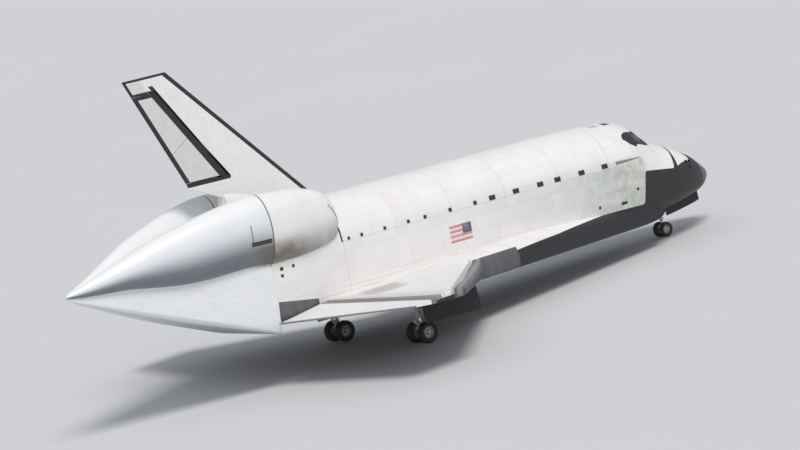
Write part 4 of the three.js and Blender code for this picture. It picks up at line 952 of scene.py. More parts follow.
def jet_cup(start, end, radius):
    """Nozzle in a jet's mouth: a bell that widens outwards, open at the top."""
    length = np.linalg.norm(end - start) / INCH
    e = 5.2 / length
    rows = [(0.02 * e, 0.1), (0.02 * e, radius * 0.5), (0.5 * e, radius * 0.8), (e, radius - 0.06),
            (e, radius - 0.5), (0.5 * e, radius * 0.62), (0.14 * e, radius * 0.35), (0.14 * e, 0.1)]
    return turned(start, end, rows, 32)


cups = joined(*[jet_cup(*mouth) for mouth in jet_mouths()])
piece("nose_jet_nozzles", cups, "airframe", DARK_FITTING)

lower = cut(body, ("&", slab(X_NOSE_CAP + SEAM, X_BAY_FRONT - SEAM, LOW, Z_CABIN_DECK)), ("-", nose_well),
            ("+", attach_boss))
piece("forward_lower_skin", lower, "airframe", FUSELAGE, ["forward_fuselage_lower"])

# Windows. Columns: name, X and Y of the middle, width, length, lean of the edges
WINDOWS = [
    ("windshield_forward", 430, 13.8, 23.4, 34, -0.2), ("windshield_middle", 439, 40, 22, 32, -0.22),
    ("windshield_side", 466, 62.5, 20, 28, -0.02), ("overhead_window", 506, 19, 20, 20, 0),
]


def window_prism(row, grow, inner=-16, outer=10, corner=2.5):
    """Prism square to the skin through a window's outline grown by grow, from inner to outer inches
    off the skin. Its corners are rounded by corner inches."""
    _, X, Y, width, length, lean = row
    at = lambda x, y: to_row((x, y, float(body_top(x, y))))
    here, step = at(X, Y), 2
    along_x, across = at(X + step, Y) - at(X - step, Y), at(X, Y + step) - at(X, Y - step)
    normal = np.cross(along_x, across)
    normal *= np.sign(normal[2]) / np.linalg.norm(normal)
    across /= np.linalg.norm(across)
    along = np.cross(normal, across)
    a, b = width / 2 + grow, length / 2 + grow
    angle = np.linspace(0, math.pi / 2, 7)
    arc = np.stack([np.cos(angle), np.sin(angle)], -1) * corner
    turns = [(1, 1, 0), (-1, 1, 1), (-1, -1, 2), (1, -1, 3)]
    outline = np.concatenate([
        arc @ np.array([[math.cos(k * math.pi / 2), math.sin(k * math.pi / 2)],
                        [-math.sin(k * math.pi / 2), math.cos(k * math.pi / 2)]])
        + (u * (a - corner), v * (b - corner)) for u, v, k in turns])
    flat = here + ((outline[:, :1] + lean * outline[:, 1:]) * across + outline[:, 1:] * along) * INCH
    return tube(np.stack([flat + normal * level * INCH for level in (inner, outer)]))


X_HATCH, Z_HATCH, Y_HATCH_HINGE, Z_HATCH_HINGE = 513, 376, 103.5, 355.4
HATCH_RADIUS, HATCH_HOLE, HATCH_WINDOW = 19, 20, 5


def hatch_bar(radius, y0=60, **settings):
    """Round bar along the middle line of the hatch, out from a distance from the plane of symmetry."""
    return bar((X_HATCH, y0, Z_HATCH), (X_HATCH, 120, Z_HATCH), radius, **settings)


window_tools = []
for row in WINDOWS:
    tool = window_prism(row, 0)
    window_tools += [tool, mirrored(tool)]
cabin_space = cut(inner_body, ("&", slab(X_JET_MODULE + 5, X_BAY_FRONT - 8, Z_CABIN_DECK - 20)))
aft_windows = [box(570, 586, y - 7, y + 7, 448, 466) for y in (13, -13)]
upper = cut(body, ("&", slab(X_JET_MODULE, X_BAY_FRONT - SEAM, Z_CABIN_DECK + SEAM)), ("-", cabin_space),
            ("-", hatch_bar(HATCH_HOLE)), *[("-", tool) for tool in window_tools + aft_windows])
piece("forward_upper_skin", upper, "airframe", FUSELAGE, ["forward_fuselage_upper"])

pane_shell = cut(body_solid(0.7), ("-", body_solid(1.9)))
for row in WINDOWS:
    pane = cut(pane_shell, ("&", window_prism(row, -SEAM)))
    pair(f"{row[0]}_pane", pane, "airframe", GLASS, [f"{row[0]}_*"])


def window_surround():
    """Black tiles round the six front windows: a plate on the skin between a front and a rear edge,
    each given as X over the distance from the middle."""
    edge_y = [0, 20, 40, 52, 62, 70, 78, 85]
    front_x = [412, 413, 417, 424, 437, 456, 474, 484]
    rear_x = [449, 450, 456, 470, 494, 508, 514, 500]
    y = np.linspace(-85, 85, 137)
    front, rear = np.interp(abs(y), edge_y, front_x), np.interp(abs(y), edge_y, rear_x)
    t = np.linspace(0, 1, 41)[:, None]
    X = front * (1 - t) + rear * t
    Y = np.broadcast_to(y, X.shape)
    plate = between(grid(X, Y, body_top(X, Y, 0.3)), grid(X, Y, body_top(X, Y) - 0.5))
    return cut(plate, *[("-", tool) for tool in window_tools[:6]])


piece("windshield_surround", window_surround(), "airframe", BLACK_TILE)

# Side hatch
lugs = [box(X - 1.5, X + 1.5, 100.5, Y_HATCH_HINGE + 0.7, Z_HATCH_HINGE - 0.8, Z_HATCH_HINGE + 8)
        for X in (X_HATCH - 6, X_HATCH + 6)]
hatch = cut(body, ("-", body_solid(CABIN_WALL - 1)), ("&", hatch_bar(HATCH_RADIUS, segments=96)),
            ("-", hatch_bar(HATCH_WINDOW, 90)))
hatch = cut(hatch, *[("+", lug) for lug in lugs])
piece("side_hatch_skin", hatch, "side_hatch", FUSELAGE, ["side_hatch"])
hatch_glass = cut(body_solid(1.2), ("-", body_solid(2.4)), ("&", hatch_bar(HATCH_WINDOW - SEAM)),
                  ("&", slab(500, 530)))
hatch_glass = cut(hatch_glass, ("&", box(500, 530, 0, WIDE, 360, 390)))
piece("side_hatch_window", hatch_glass, "side_hatch", GLASS)

# Middle fuselage and bay
bay = bar((560, 0, Z_BAY_CENTRE), (1330, 0, Z_BAY_CENTRE), BAY_RADIUS, segments=96)
sill = box(560, 1330, -BAY_RADIUS, BAY_RADIUS, Z_BAY_CENTRE, 430)
trough = cut(body, ("&", slab(X_BAY_FRONT, X_BAY_BACK, LOW, Z_DOOR_HINGE - 0.4)), ("-", bay), ("-", sill))
piece("middle_fuselage_skin", trough, "airframe", FUSELAGE, ["mid_fuselage"])

door_shell = cut(body, ("-", body_solid(DOOR_THICKNESS)))
door = cut(door_shell, ("&", box(X_BAY_FRONT + MOVING_GAP, X_BAY_BACK - MOVING_GAP, 0.3, WIDE,
                                 Z_DOOR_HINGE + 1.2, HIGH)))
pair("bay_door_skin", door, "payload_door_*", DOOR_SKIN, ["payload_bay_door_*"])
# The first six covers are large, and those behind them get smaller aft. Half-length and height
cover_sizes = [(8, 11)] * 6 + [(4.2 - 0.22 * k, 9 - 0.3 * k) for k in range(7)]
hinge_covers = joined(*[side_patch(rectangle(X - h, X + h, Z_DOOR_HINGE + 1.4, Z_DOOR_HINGE + t), 1.1)
                        for X, (h, t) in zip(DOOR_HINGE_X, cover_sizes)])
pair("bay_door_hinge_covers", hinge_covers, "payload_door_*", DARK_FITTING)
seal_outline = rectangle(X_BAY_FRONT + 1, X_BAY_BACK - 1, Z_DOOR_HINGE - 0.3, Z_DOOR_HINGE + 1.6)
door_seal = side_patch(seal_outline, 0.35, 0.5, (60, 3))
pair("bay_door_seal", door_seal, "payload_door_*", SEAL_CLOTH)

# Small vents and plates on the side; the last row is a dark strip of painted shadow in the gap ahead of the
# pod. Columns: X from and to, Z from and to
SIDE_MARKS = [(549, 566, 327, 333), (623, 629, 331, 337), (510.5, 516.5, 348.5, 354),
              (1467.5, 1475.5, 387, 394), (1438, 1444.5, 387.5, 393.5), (1469, 1476, 373.5, 379.5),
              (1307.4, 1311, 410, 473)]
marks = joined(*[side_patch(rectangle(*mark), 0.35) for mark in SIDE_MARKS])
pair("side_vents_and_shadow_strip", marks, "airframe", DARK_FITTING)
strip = side_patch([(490, 414), (563, 412.4), (563, 419), (490, 415.4)], 0.3, 0.6, (16, 3))
pair("cabin_side_strip", strip, "airframe", WEATHERED)
# Dark grey plate on the side above the elevon's inner end
plate_above_elevon = side_patch([(1392, 289), (1495, 286.5), (1493, 327), (1392, 312.5)], 0.3, 0.5, (20, 8))
pair("elevon_end_plate", plate_above_elevon, "airframe", GREY_PLATE)
flag = side_patch(rectangle(FLAG["x0"], FLAG["x1"], FLAG["z0"], FLAG["z1"]), 0.12, 0.4, (12, 8))
pair("striped_panel", flag, "airframe", STRIPES)

clear = DOOR_THICKNESS + 0.6
plate = cut(body_solid(clear), ("-", body_solid(clear + RADIATOR_THICKNESS)),
            ("&", box(600, 1290, 8, WIDE, 425, HIGH)))
reach = cut(body_solid(DOOR_THICKNESS + SEAM), ("-", body_solid(clear + 0.5)))
for X in (640, 850, 1040, 1250):
    for Y in (20, 60):
        plate = cut(plate, ("+", cut(reach, ("&", box(X - 3, X + 3, Y - 3, Y + 3, 430, HIGH)))))
pair("bay_radiator", plate, "payload_door_*", RADIATOR, ["radiator_*"])

# Aft fuselage

def aft_boss(side=1, grow=0):
    """Round boss under the wing's root, off the plane of symmetry by 96.5 inches."""
    return bar((1317, side * 96.5, 265.5), (1317, side * 96.5, 290), 5 + grow)


aft = cut(body, ("&", slab(X_BAY_BACK + SEAM, X_BASE - SEAM)), ("+", aft_boss()), ("+", aft_boss(-1)))
piece("aft_fuselage_skin", aft, "airframe", FUSELAGE, ["aft_fuselage"])


def lobe_rings(X, y, z, half_width, half_height, points=72):
    """Ellipses of given centre and half-sizes at each X."""
    angle = np.arange(points) * 2 * math.pi / points
    X, y, z, half_width, half_height = (column[:, None] for column in (X, y, z, half_width, half_height))
    return grid(X, y + half_width * np.cos(angle), z + half_height * np.sin(angle))


X_POD = POD[0][0]
pod_x = X_POD + np.linspace(0.03, 1, 48) ** 2 * (X_BASE - SEAM - X_POD)
pod_rows = rows_at(POD, pod_x, lambda X: np.sqrt(np.maximum(X - X_POD, 0)))
body_grown = body_solid(-SEAM)
pod = cut(tube(lobe_rings(pod_x, *pod_rows.T)), ("-", body_grown))
pair("manoeuvring_pod_skin", pod, "airframe", POD_SKIN, ["manoeuvring_pod_*"])


def rounded(corners, radius, steps=6):
    """Rings of corners (n, m, 3) with each corner drawn as a curve between points radius away on
    its two edges: the quadratic Bezier curve that has the corner as its middle point."""
    before, after = np.roll(corners, 1, 1) - corners, np.roll(corners, -1, 1) - corners
    size_b, size_a = np.linalg.norm(before, axis=2), np.linalg.norm(after, axis=2)
    reach_b, reach_a = np.minimum(radius, size_b * 0.45), np.minimum(radius, size_a * 0.45)
    p = corners + before * (reach_b / size_b)[..., None]
    q = corners + after * (reach_a / size_a)[..., None]
    t = np.linspace(0, 1, steps)[:, None]
    curve = (p[:, :, None] * (1 - t) ** 2 + corners[:, :, None] * 2 * t * (1 - t) + q[:, :, None] * t * t)
    return curve.reshape(len(corners), -1, 3)


def cone_solid(inset, front):
    """Flat-sided middle with softened corners and a hump behind each pod."""
    X = np.concatenate([np.linspace(front, 1900, 60), np.linspace(1903, 1926, 12)])
    belly, width, valley, y, z, w, h = rows_at(CONE, X).T
    keep = width > inset + 2
    side, low = width - inset, belly + inset
    shoulder = np.maximum(416, low + 1)
    knee = low + (shoulder - low) * 0.1
    top_y, top_z = y * 0.95 - inset * 0.5, valley - inset
    Y = np.stack([-side * 0.96, side * 0.96, side, side, top_y, -top_y, -side, -side], 1)
    Z = np.stack([low, low, knee, shoulder, top_z, top_z, shoulder, knee], 1)
    corners = np.stack([np.broadcast_to(X[:, None], Y.shape), Y, Z], -1)[keep]
    middle = tube(to_row(rounded(corners, 4.0)))
    fat = (w > inset + 1) & (h > inset + 1)
    end = np.sqrt(np.clip((1926.5 - X) / 3, 0, 1))
    hump = tube(lobe_rings(X[fat], y[fat], z[fat], (w * end - inset)[fat], (h * end - inset)[fat]))
    return cut(middle, ("+", hump), ("+", mirrored(hump)))


cone = cut(cone_solid(0, X_BASE + SEAM), ("-", cone_solid(3, X_BASE - 10)))
piece("tail_cone_skin", cone, "airframe", CONE_PAINT, ["tail_cone"], sharp=24)

# Wing
HINGE_TILT = math.atan(HINGE_RISE)


def leading_edge(Y):
    """X of the wing's edge: the foremost of two straight lines, the glove's and the swept one."""
    return np.minimum(X_GLOVE + GLOVE_SLOPE * (Y - Y_ROOT), X_SWEEP + Y)


def hinge_z(Y):
    """Height of the elevon hinge, a straight line that rises outwards."""
    return 286 + (Y - Y_ROOT) * HINGE_RISE


def hinge_radius(Y):
    """Radius of the elevons' round nose, which shrinks evenly from root to tip."""
    at_root, at_tip = 16.5, 5.2
    return at_root + (at_tip - at_root) * (Y - Y_ROOT) / (Y_TIP - Y_ROOT)


def rounded_end(start, end, over, count, tip_count):
    """Stations from start to end, close together over the last inches, and the share of the thickness
    at each: an ellipse over those inches."""
    share = np.sin(np.linspace(0.1, 1, tip_count) * math.pi / 2)
    stations = np.concatenate([np.linspace(start, end - over, count), end - over + over * share])
    thin = np.sqrt(np.clip(1 - ((stations - (end - over)) / over).clip(0, 1) ** 2, 0.02, 1))
    return stations, thin[:, None]


def wing_solid():
    """Wing between the fuselage and the tip, thinned to a round edge over its last inches."""
    Y, thin = rounded_end(WING[0][0], Y_TIP, 5, 70, 9)
    f = np.linspace(0, 1, 49) ** 2
    rise, drop, blend = rows_at(AIRFOIL, f, np.sqrt).T
    table = np.array(WING)
    lead, under, crown = (np.interp(Y, table[:, 0], table[:, k])[:, None] for k in (1, 2, 3))
    x_lead = leading_edge(Y)[:, None]
    X = x_lead + (X_ELEVON_HINGE - x_lead) * f
    top = lead + (crown - lead) * rise
    low = lead + (under - lead) * drop
    z, r = hinge_z(Y)[:, None], hinge_radius(Y)[:, None]
    top, low = top + (z + r - top) * blend, low + (z - r - low) * blend
    middle = (top + low) / 2
    top, low = middle + (top - middle) * thin, middle + (low - middle) * thin
    Z = np.concatenate([top[:, ::-1], low[:, 1:]], 1)
    X = np.concatenate([X[:, ::-1], X[:, 1:]], 1)
    return tube(grid(X, Y[:, None], Z))


def along_hinge(y0, y1, outline):
    """Solid along the elevon hinge line whose end sections are outline(Y): rows aft of the line and up
    from it, square to it."""
    rings = []
    for Y in (y0, y1):
        aft, up = outline(Y).T
        rings.append(grid(X_ELEVON_HINGE + aft, Y - up * math.sin(HINGE_TILT),
                          hinge_z(Y) + up * math.cos(HINGE_TILT)))
    return tube(np.stack(rings))


def cove_circle(Y):
    """Round space in the wing for the elevon's nose."""
    angle = (np.arange(96) + 0.5) * math.pi / 48
    return np.stack([np.cos(angle), np.sin(angle)], -1) * (hinge_radius(Y) + MOVING_GAP)


def cove_wedge(_, reach=60):
    """Space behind the hinge, between the elevon's two limits."""
    up, down = ((-math.sin(a) * reach, math.cos(a) * reach) for a in (ELEVON_UP, ELEVON_DOWN))
    return np.array([(0, 0), up, (reach, reach), (reach, -reach), (down[0], -down[1])])


def elevon_section(Y):
    """Round nose about the hinge and straight sides to a blunt trailing edge."""
    r, chord = hinge_radius(Y), X_ELEVON_BACK - ELEVON_TAPER * Y - X_ELEVON_HINGE
    angle = math.pi * (0.5 + np.linspace(0, 1, 33))
    nose = np.stack([np.cos(angle), np.sin(angle)], -1) * r
    return np.concatenate([nose, [(chord, -0.12 * r - 0.9), (chord, -0.12 * r + 0.9)]])


EDGE_PLAN = [(915, 161), (968, 170), (1050, 183.5), (1139, 275), (1245, 387), (1345, Y_TIP + 8),
             (1250, Y_TIP + 8), (960, 200), (915, 185)]
main_well = box(*MAIN_WELL[:4], LOW, MAIN_WELL[4])
wing = cut(wing_solid(), ("-", body_grown), ("-", along_hinge(85, Y_TIP + 12, cove_circle)),
           ("-", along_hinge(85, Y_TIP + 12, cove_wedge)), ("-", main_well), ("-", aft_boss(1, SEAM)))
edge_prism = prism(EDGE_PLAN, 2, LOW, 360)
pair("wing_skin", cut(wing, ("-", edge_prism)), "airframe", WING_SKIN, ["wing_*"])
edge = cut(wing, ("&", edge_prism))
pair("wing_edge_panels", edge, "airframe", CARBON, ["wing_leading_edge_*"])
for name, y0, y1 in (("inboard", Y_ELEVON_INNER, Y_ELEVON_SPLIT - MOVING_GAP),
                     ("outboard", Y_ELEVON_SPLIT + MOVING_GAP, Y_TIP)):
    elevon, node = along_hinge(y0, y1, elevon_section), f"elevon_{name}_*"
    pair(f"elevon_{name}_skin", elevon, node, ELEVON_SKIN, [node])

# Fin and rudder

def rudder_radius(Z):
    """Radius of the rudder's round hinge, which shrinks evenly from bottom to top."""
    at_bottom, at_top = 9.6, 5
    return at_bottom + (at_top - at_bottom) * (Z - Z_RUDDER_BOTTOM) / (Z_RUDDER_TOP - Z_RUDDER_BOTTOM)


# Fin section. Columns: share of the way from leading edge to hinge, share of the half-thickness
FIN_SECTION = [(0, 0), (0.004, 0.1), (0.03, 0.3), (0.1, 0.52), (0.3, 0.8), (0.6, 0.96), (1, 1)]


def fin_solid():
    """Thin wedge-tailed section at each height, rounded over its last inches at the tip."""
    Z, thin = rounded_end(Z_FIN_ROOT, Z_FIN_TIP, 3, 40, 7)
    Z, f = Z[:, None], np.linspace(0, 1, 33) ** 2
    share = rows_at(FIN_SECTION, f, np.sqrt)[:, 0]
    x_lead = fin_lead_x(Z)
    X = np.concatenate([x_lead + (rudder_hinge_x(Z) - x_lead) * f, fin_back_x(Z)], 1)
    Y = np.concatenate([share * rudder_radius(Z), np.full_like(Z, 0.7)], 1) * thin
    X, Y = np.concatenate([X, X[:, :0:-1]], 1), np.concatenate([Y, -Y[:, :0:-1]], 1)
    return tube(grid(X, Y, Z))


fin = fin_solid()
# Swelling of the fin's foot round the chute. Columns: X, half-width, z of the centre, half-height
BULGE = [(1400, 6, 505, 14), (1430, 14, 512, 26), (1470, 18, 516, 34), (1511, 18, 518, 36)]
bulge_x = np.linspace(BULGE[0][0], BULGE[-1][0], 30)
bulge_w, bulge_z, bulge_h = rows_at(BULGE, bulge_x).T
bulge = tube(lobe_rings(bulge_x, bulge_x * 0, bulge_z, bulge_w, bulge_h, 56))
undercut = prism([(1512, 470), (1512, 546), (1580, 576.5), (1720, 576.5), (1720, 470)],
                 1, -FIN_WIDE, FIN_WIDE)
RUDDER_BEHIND = 1760


def clearance(Z):
    """X of the edge that the fin keeps clear of the round hinge."""
    return rudder_hinge_x(Z) - (rudder_radius(Z) + MOVING_GAP) / math.cos(math.atan(RUDDER_LEAN))


rudder_space = prism([(clearance(Z_RUDDER_BOTTOM), Z_RUDDER_BOTTOM), (clearance(Z_RUDDER_TOP), Z_RUDDER_TOP),
                      (RUDDER_BEHIND, Z_RUDDER_TOP), (RUDDER_BEHIND, Z_RUDDER_BOTTOM)],
                     1, -FIN_WIDE, FIN_WIDE)
whole_fin = cut(fin, ("+", bulge), ("-", undercut), ("-", rudder_space), ("-", body_grown))
chute_box = box(1452, 1700, -FIN_WIDE, FIN_WIDE, 400, 560)
piece("fin_skin", cut(whole_fin, ("-", chute_box)), "airframe", FIN_SKIN, ["vertical_fin"])
chute = cut(whole_fin, ("&", chute_box), ("-", cone_solid(-SEAM, X_BASE - SEAM)))
piece("chute_compartment_skin", chute, "airframe", POD_SKIN, ["drag_chute_compartment"])


def rudder_cone(grow, z0, z1):
    """Part of the round hinge between two heights, grown by grow."""
    ends = [to_row((rudder_hinge_x(Z), 0, Z)) for Z in (z0, z1)]
    return rod(*ends, rudder_radius(z0) + grow, rudder_radius(z1) + grow, 64)


z0, z1 = Z_RUDDER_BOTTOM + 3, Z_RUDDER_TOP - 4.9
panel_outline = [(rudder_hinge_x(z0), z0), (rudder_hinge_x(z1), z1), (RUDDER_BEHIND, z1), (RUDDER_BEHIND, z0)]
panel_area = prism(panel_outline, 1, 0.25, 40)
rudder = cut(fin, ("&", panel_area), ("-", rudder_cone(0.45, 560, 815)))
pair("rudder_panel_skin", rudder, "rudder_panel_*", RUDDER_SKIN, ["rudder_panel_*"])


def skirt(z_fin, steps):
    """Strip of the fin's own section that narrows the gap above or below the rudder, from z_fin down
    or up to an edge given as distances aft of the hinge line and heights. The edge keeps clear of
    the panels' front corners, which rise and dip as they turn about the leaning hinge."""
    edge = [(rudder_hinge_x(z) + aft, z) for aft, z in steps]
    front = clearance(z_fin) - 0.5
    outline = [(front, z_fin), (front, steps[0][1]), *edge,
               (RUDDER_BEHIND, steps[-1][1]), (RUDDER_BEHIND, z_fin)]
    return cut(fin, ("&", prism(outline, 1, -FIN_WIDE, FIN_WIDE)))


def hinge_plug(z0, z1):
    """Fixed end of the round hinge, between the turning tube and the fin."""
    gap = box(1400, 1800, -FIN_WIDE, FIN_WIDE, Z_RUDDER_BOTTOM - RUDDER_GAP, Z_RUDDER_TOP + RUDDER_GAP)
    return cut(rudder_cone(0, z0, z1), ("&", gap))


skirts = joined(skirt(Z_RUDDER_BOTTOM - RUDDER_GAP, [(16, 587.5), (24, 589.2)]),
                skirt(Z_RUDDER_TOP + RUDDER_GAP, [(4, 787.5), (14, 783.8)]))
piece("rudder_gap_skirts", skirts, "airframe", BLACK_TILE)
plugs = joined(hinge_plug(560, 595.6), hinge_plug(780.4, 815))
piece("rudder_hinge_plugs", plugs, "airframe", BLACK_TILE)
piece("rudder_hinge_skin", rudder_cone(0, 596, 780), "rudder_hinge", BLACK_TILE,
      ["rudder_hinge_tube"])

# Payload bay inside

def bay_ring(X0, X1, outer, inner, steps=72):
    """Plate along the lower half of the bay's round wall, between two stations and two radii."""
    X, angle = np.linspace(X0, X1, 3)[:, None], np.linspace(-math.pi, 0, steps)
    return between(*[grid(X, r * np.cos(angle), Z_BAY_CENTRE + r * np.sin(angle)) for r in (outer, inner)])


BAY_FRAMES_X = np.linspace(X_BAY_FRONT + 4, X_BAY_BACK - 4, 14)
liner = joined(*[bay_ring(a + 1.3, b - 1.3, BAY_RADIUS - 0.2, BAY_RADIUS - 0.7)
                 for a, b in zip(BAY_FRAMES_X, BAY_FRAMES_X[1:])])
piece("bay_liner", liner, "airframe", BAY_LINER)
# Web and flange of the frames. Columns: half-width, then how far the outer and inner face lie inwards
frames = [bay_ring(X - half, X + half, BAY_RADIUS - outer, BAY_RADIUS - inner)
          for half, outer, inner in ((1.2, 0.15, 2.6), (2.4, 2.62, 3.2)) for X in BAY_FRAMES_X]
piece("bay_frames", joined(*frames), "airframe", GEAR_PAINT)
Z_BAY_FLOOR = Z_BAY_CENTRE - BAY_RADIUS
rails = [box(BAY_FRAMES_X[0], BAY_FRAMES_X[-1], *sizes) for sizes in (
    (84.5, 87.8, 403.4, 406.2), (-84.5, -87.8, 403.4, 406.2),
    (-4.2, 4.2, Z_BAY_FLOOR + 3.4, Z_BAY_FLOOR + 5.4))]
piece("bay_rails", joined(*rails), "airframe", STEEL)


def bay_end(x0, x1, holes=()):
    """Bulkhead sheet across the end of the bay, within its round wall and the doors."""
    wide = BAY_RADIUS - 0.4
    mouth = box(x0 - 3, x1 + 3, -wide, wide, Z_BAY_CENTRE, HIGH)
    round_end = bar((x0 - 3, 0, Z_BAY_CENTRE), (x1 + 3, 0, Z_BAY_CENTRE), wide, segments=96)
    opening = cut(round_end, ("+", mouth))
    return cut(body_solid(8), ("&", slab(x0, x1)), ("&", opening), *[("-", hole) for hole in holes])


bulkheads = joined(bay_end(582.08, 582.9, aft_windows), bay_end(1306.1, 1306.9))
piece("bay_bulkheads", bulkheads, "airframe", BAY_LINER)

# Landing gear

def prism_between(one, other):
    """Solid between two equal outlines of points in row metres."""
    return tube(np.array([one, other], float))


def hose(points, radius, segments=10, steps=8):
    """Round hose through points in row metres: a Catmull-Rom curve whose section is turned by the
    least twist from one ring to the next."""
    p = np.asarray(points, float)
    p = np.concatenate([[2 * p[0] - p[1]], p, [2 * p[-1] - p[-2]]])
    t = np.linspace(0, 1, steps, endpoint=False)[:, None]
    curve = [0.5 * (2 * b + (c - a) * t + (2 * a - 5 * b + 4 * c - d) * t ** 2
                    + (3 * b - a - 3 * c + d) * t ** 3) for a, b, c, d in zip(p, p[1:], p[2:], p[3:])]
    curve = np.concatenate(curve + [p[-2:-1]])
    along = np.gradient(curve, axis=0)
    along /= np.linalg.norm(along, axis=1)[:, None]
    side = np.cross(along[0], (0.3, 1, 0.2))
    angle = np.arange(segments)[:, None] * 2 * math.pi / segments
    rings = []
    for at, way in zip(curve, along):
        side = side - way * (side @ way)
        side /= np.linalg.norm(side)
        rings.append(at + radius * INCH * (np.cos(angle) * side + np.sin(angle) * np.cross(way, side)))
    return tube(np.stack(rings))


def cross_pin(at, x, z, reach, radius, segments, edge=0.2):
    """Pin across a leg at a forward and up place, to reach inches on both sides."""
    return rod(at(x, -reach, z), at(x, reach, z), radius, None, segments, edge)


def collared_bar(at, start, end, radius, collars, thin, segments):
    """Bar turned between two places on a leg, from the profile that collared gives."""
    return turned(at(*start), at(*end), collared(radius, collars, thin), segments)


def collared(radius, collars, thin, edge=0.012):
    """Profile rows for a bar whose middle is thin inches slimmer than its collars. Collars: shares of
    the length from and to."""
    rows = [(0, radius - 0.3), (edge * 0.4, radius)]
    for low, high in collars:
        rows += [(low - edge, radius - thin), (low, radius), (high, radius), (high + edge, radius - thin)]
    rows += [(1 - edge * 0.4, radius - thin), (1, radius - thin - 0.2)]
    return rows


def link(at, start, end, wide_start, wide_end, y0, y1):
    """Tapered flat link between two (forward, up) places, y0 to y1 across."""
    a, b = np.array(start, float), np.array(end, float)
    n = np.array([-(b - a)[1], (b - a)[0]]) / np.linalg.norm(b - a)
    outline = [a + n * wide_start, b + n * wide_end, b - n * wide_end, a - n * wide_start]
    return prism_between(*[[at(x, y, z) for x, z in outline] for y in (y0, y1)])


def joined_cut(solids, *bores):
    """Several solids joined into one, less the bores."""
    return cut(solids[0], *[("+", solid) for solid in solids[1:]], *[("-", bore) for bore in bores])


def main_leg(at, top=108):
    """Painted parts of a main leg: collared cylinder, axle sleeve, trunnion, folding brace and
    torque links, with the axle's bore through them."""
    bands = [(0.06, 0.1), (0.3, 0.34), (0.62, 0.68), (0.88, 0.94)]
    ends = [(0.1, 0.2), (0.8, 0.9)]
    brace = [(0.04, 0.12), (0.46, 0.56), (0.9, 0.97)]
    solids = [collared_bar(at, (0, 0, 30), (0, 0, top), 6, bands, 0.45, 48),
              collared_bar(at, (0, -7.5, 0), (0, 7.5, 0), 5.2, ends, 0.4, 48),
              rod(at(0, 0, 2), at(0, 0, 9), 4.6, 4.2, 40),
              collared_bar(at, (0, -22, top - 6), (0, 22, top - 6), 3.6, ends, 0.5, 36),
              collared_bar(at, (3, 0, 44), (62, 0, top - 10), 3, brace, 0.6, 36),
              cross_pin(at, 31, 70, 4.2, 2.6, 32, 0.3),
              collared_bar(at, (62, -18, top - 10), (62, 18, top - 10), 3.4, [(0.42, 0.58)], 0.6, 36)]
    for y in (-3.4, 2.2):
        solids += [link(at, (0, 12), (-13, 26), 1.9, 1.3, y, y + 1.2),
                   link(at, (-13, 26), (0, 40), 1.3, 1.9, y, y + 1.2)]
    solids += [cross_pin(at, x, z, 3.9, radius, 24)
               for x, z, radius in ((-12.6, 26, 1.5), (-1, 12, 1.9), (-1, 40, 1.9))]
    return joined_cut(solids, rod(at(0, -12, 0), at(0, 12, 0), 3.05, None, 36))


def ring_bolts(centre, way, ring, count, radius, length):
    """Bolt heads in a circle round a line in row metres."""
    way = np.asarray(way, float)
    heads = []
    for k in range(count):
        angle = 2 * math.pi * k / count
        start = np.asarray(centre) + ring * INCH * np.array([math.cos(angle), 0, math.sin(angle)])
        heads.append(rod(start, start + way * length * INCH, radius, None, 6))
    return heads


# Half a tyre's section: bead, sidewall, shoulder and two grooves. Columns: share of the half-width and
# of the radius
HALF_TYRE = [
    (-0.62, 0.562), (-0.74, 0.6), (-0.76, 0.625), (-0.9, 0.66), (-0.975, 0.72), (-1, 0.78), (-0.985, 0.84),
    (-0.93, 0.905), (-0.83, 0.95), (-0.7, 0.975), (-0.56, 0.99), (-0.47, 0.995), (-0.455, 0.982),
    (-0.395, 0.982), (-0.38, 0.998), (-0.16, 1), (-0.145, 0.984), (-0.085, 0.984), (-0.07, 1),
]


def tyre_solid(centre, axle):
    """Tyre about the Y axis: rings of a closed profile, which is the half section and its mirror image."""
    profile = np.array(HALF_TYRE + [(-y, r) for y, r in reversed(HALF_TYRE)])
    profile *= (axle["width"] / 2, axle["radius"] * ROLLING_SHARE)
    angle = np.arange(96)[:, None] * 2 * math.pi / 96
    y, r = profile[:, 0], profile[:, 1]
    ring = np.stack([r * np.cos(angle), np.broadcast_to(y, (96, len(y))), r * np.sin(angle)], -1)
    return ring_torus(np.asarray(centre) + ring * INCH)


def hub_solid(centre, axle, axle_radius):
    """Both rims of a pair of wheels and their axle: flanged rims with a dished face, a cap and bolts."""
    rim = axle["radius"] * 0.56 * ROLLING_SHARE - 0.1
    half, mid = axle["width"] * 0.31, axle["spacing"] / 2
    # Columns: share of the half-width outward from the rim's middle, radius
    outer = [(1, rim), (1, rim * 0.93), (0.5, rim * 0.84), (0.16, rim * 0.74), (0.1, rim * 0.5),
             (0.3, rim * 0.36), (1.02, rim * 0.3), (1.1, rim * 0.24), (1.1, 0.05)]
    rows = [(mid - half, axle_radius), (mid - half, rim * 0.5), (mid - half + 0.6, rim * 0.86),
            (mid - half, rim * 0.92), (mid - half, rim)] + [(mid + half * share, r) for share, r in outer]
    rows = [(-y, r) for y, r in reversed(rows)] + rows
    end = rows[-1][0]
    profile = [((y + end) / (2 * end), r) for y, r in rows]
    centre = np.asarray(centre)
    base = turned(centre - (0, end * INCH, 0), centre + (0, end * INCH, 0), profile, 72)
    bolts = []
    for side in (1, -1):
        for share, ring, count, radius in ((0.08, 0.62, 10, 0.42), (0.3, 0.42, 6, 0.3)):
            face = centre + (0, side * (mid + half * share) * INCH, 0)
            bolts += ring_bolts(face, (0, side, 0), rim * ring, count, radius, 1)
    return joined(base, *bolts)


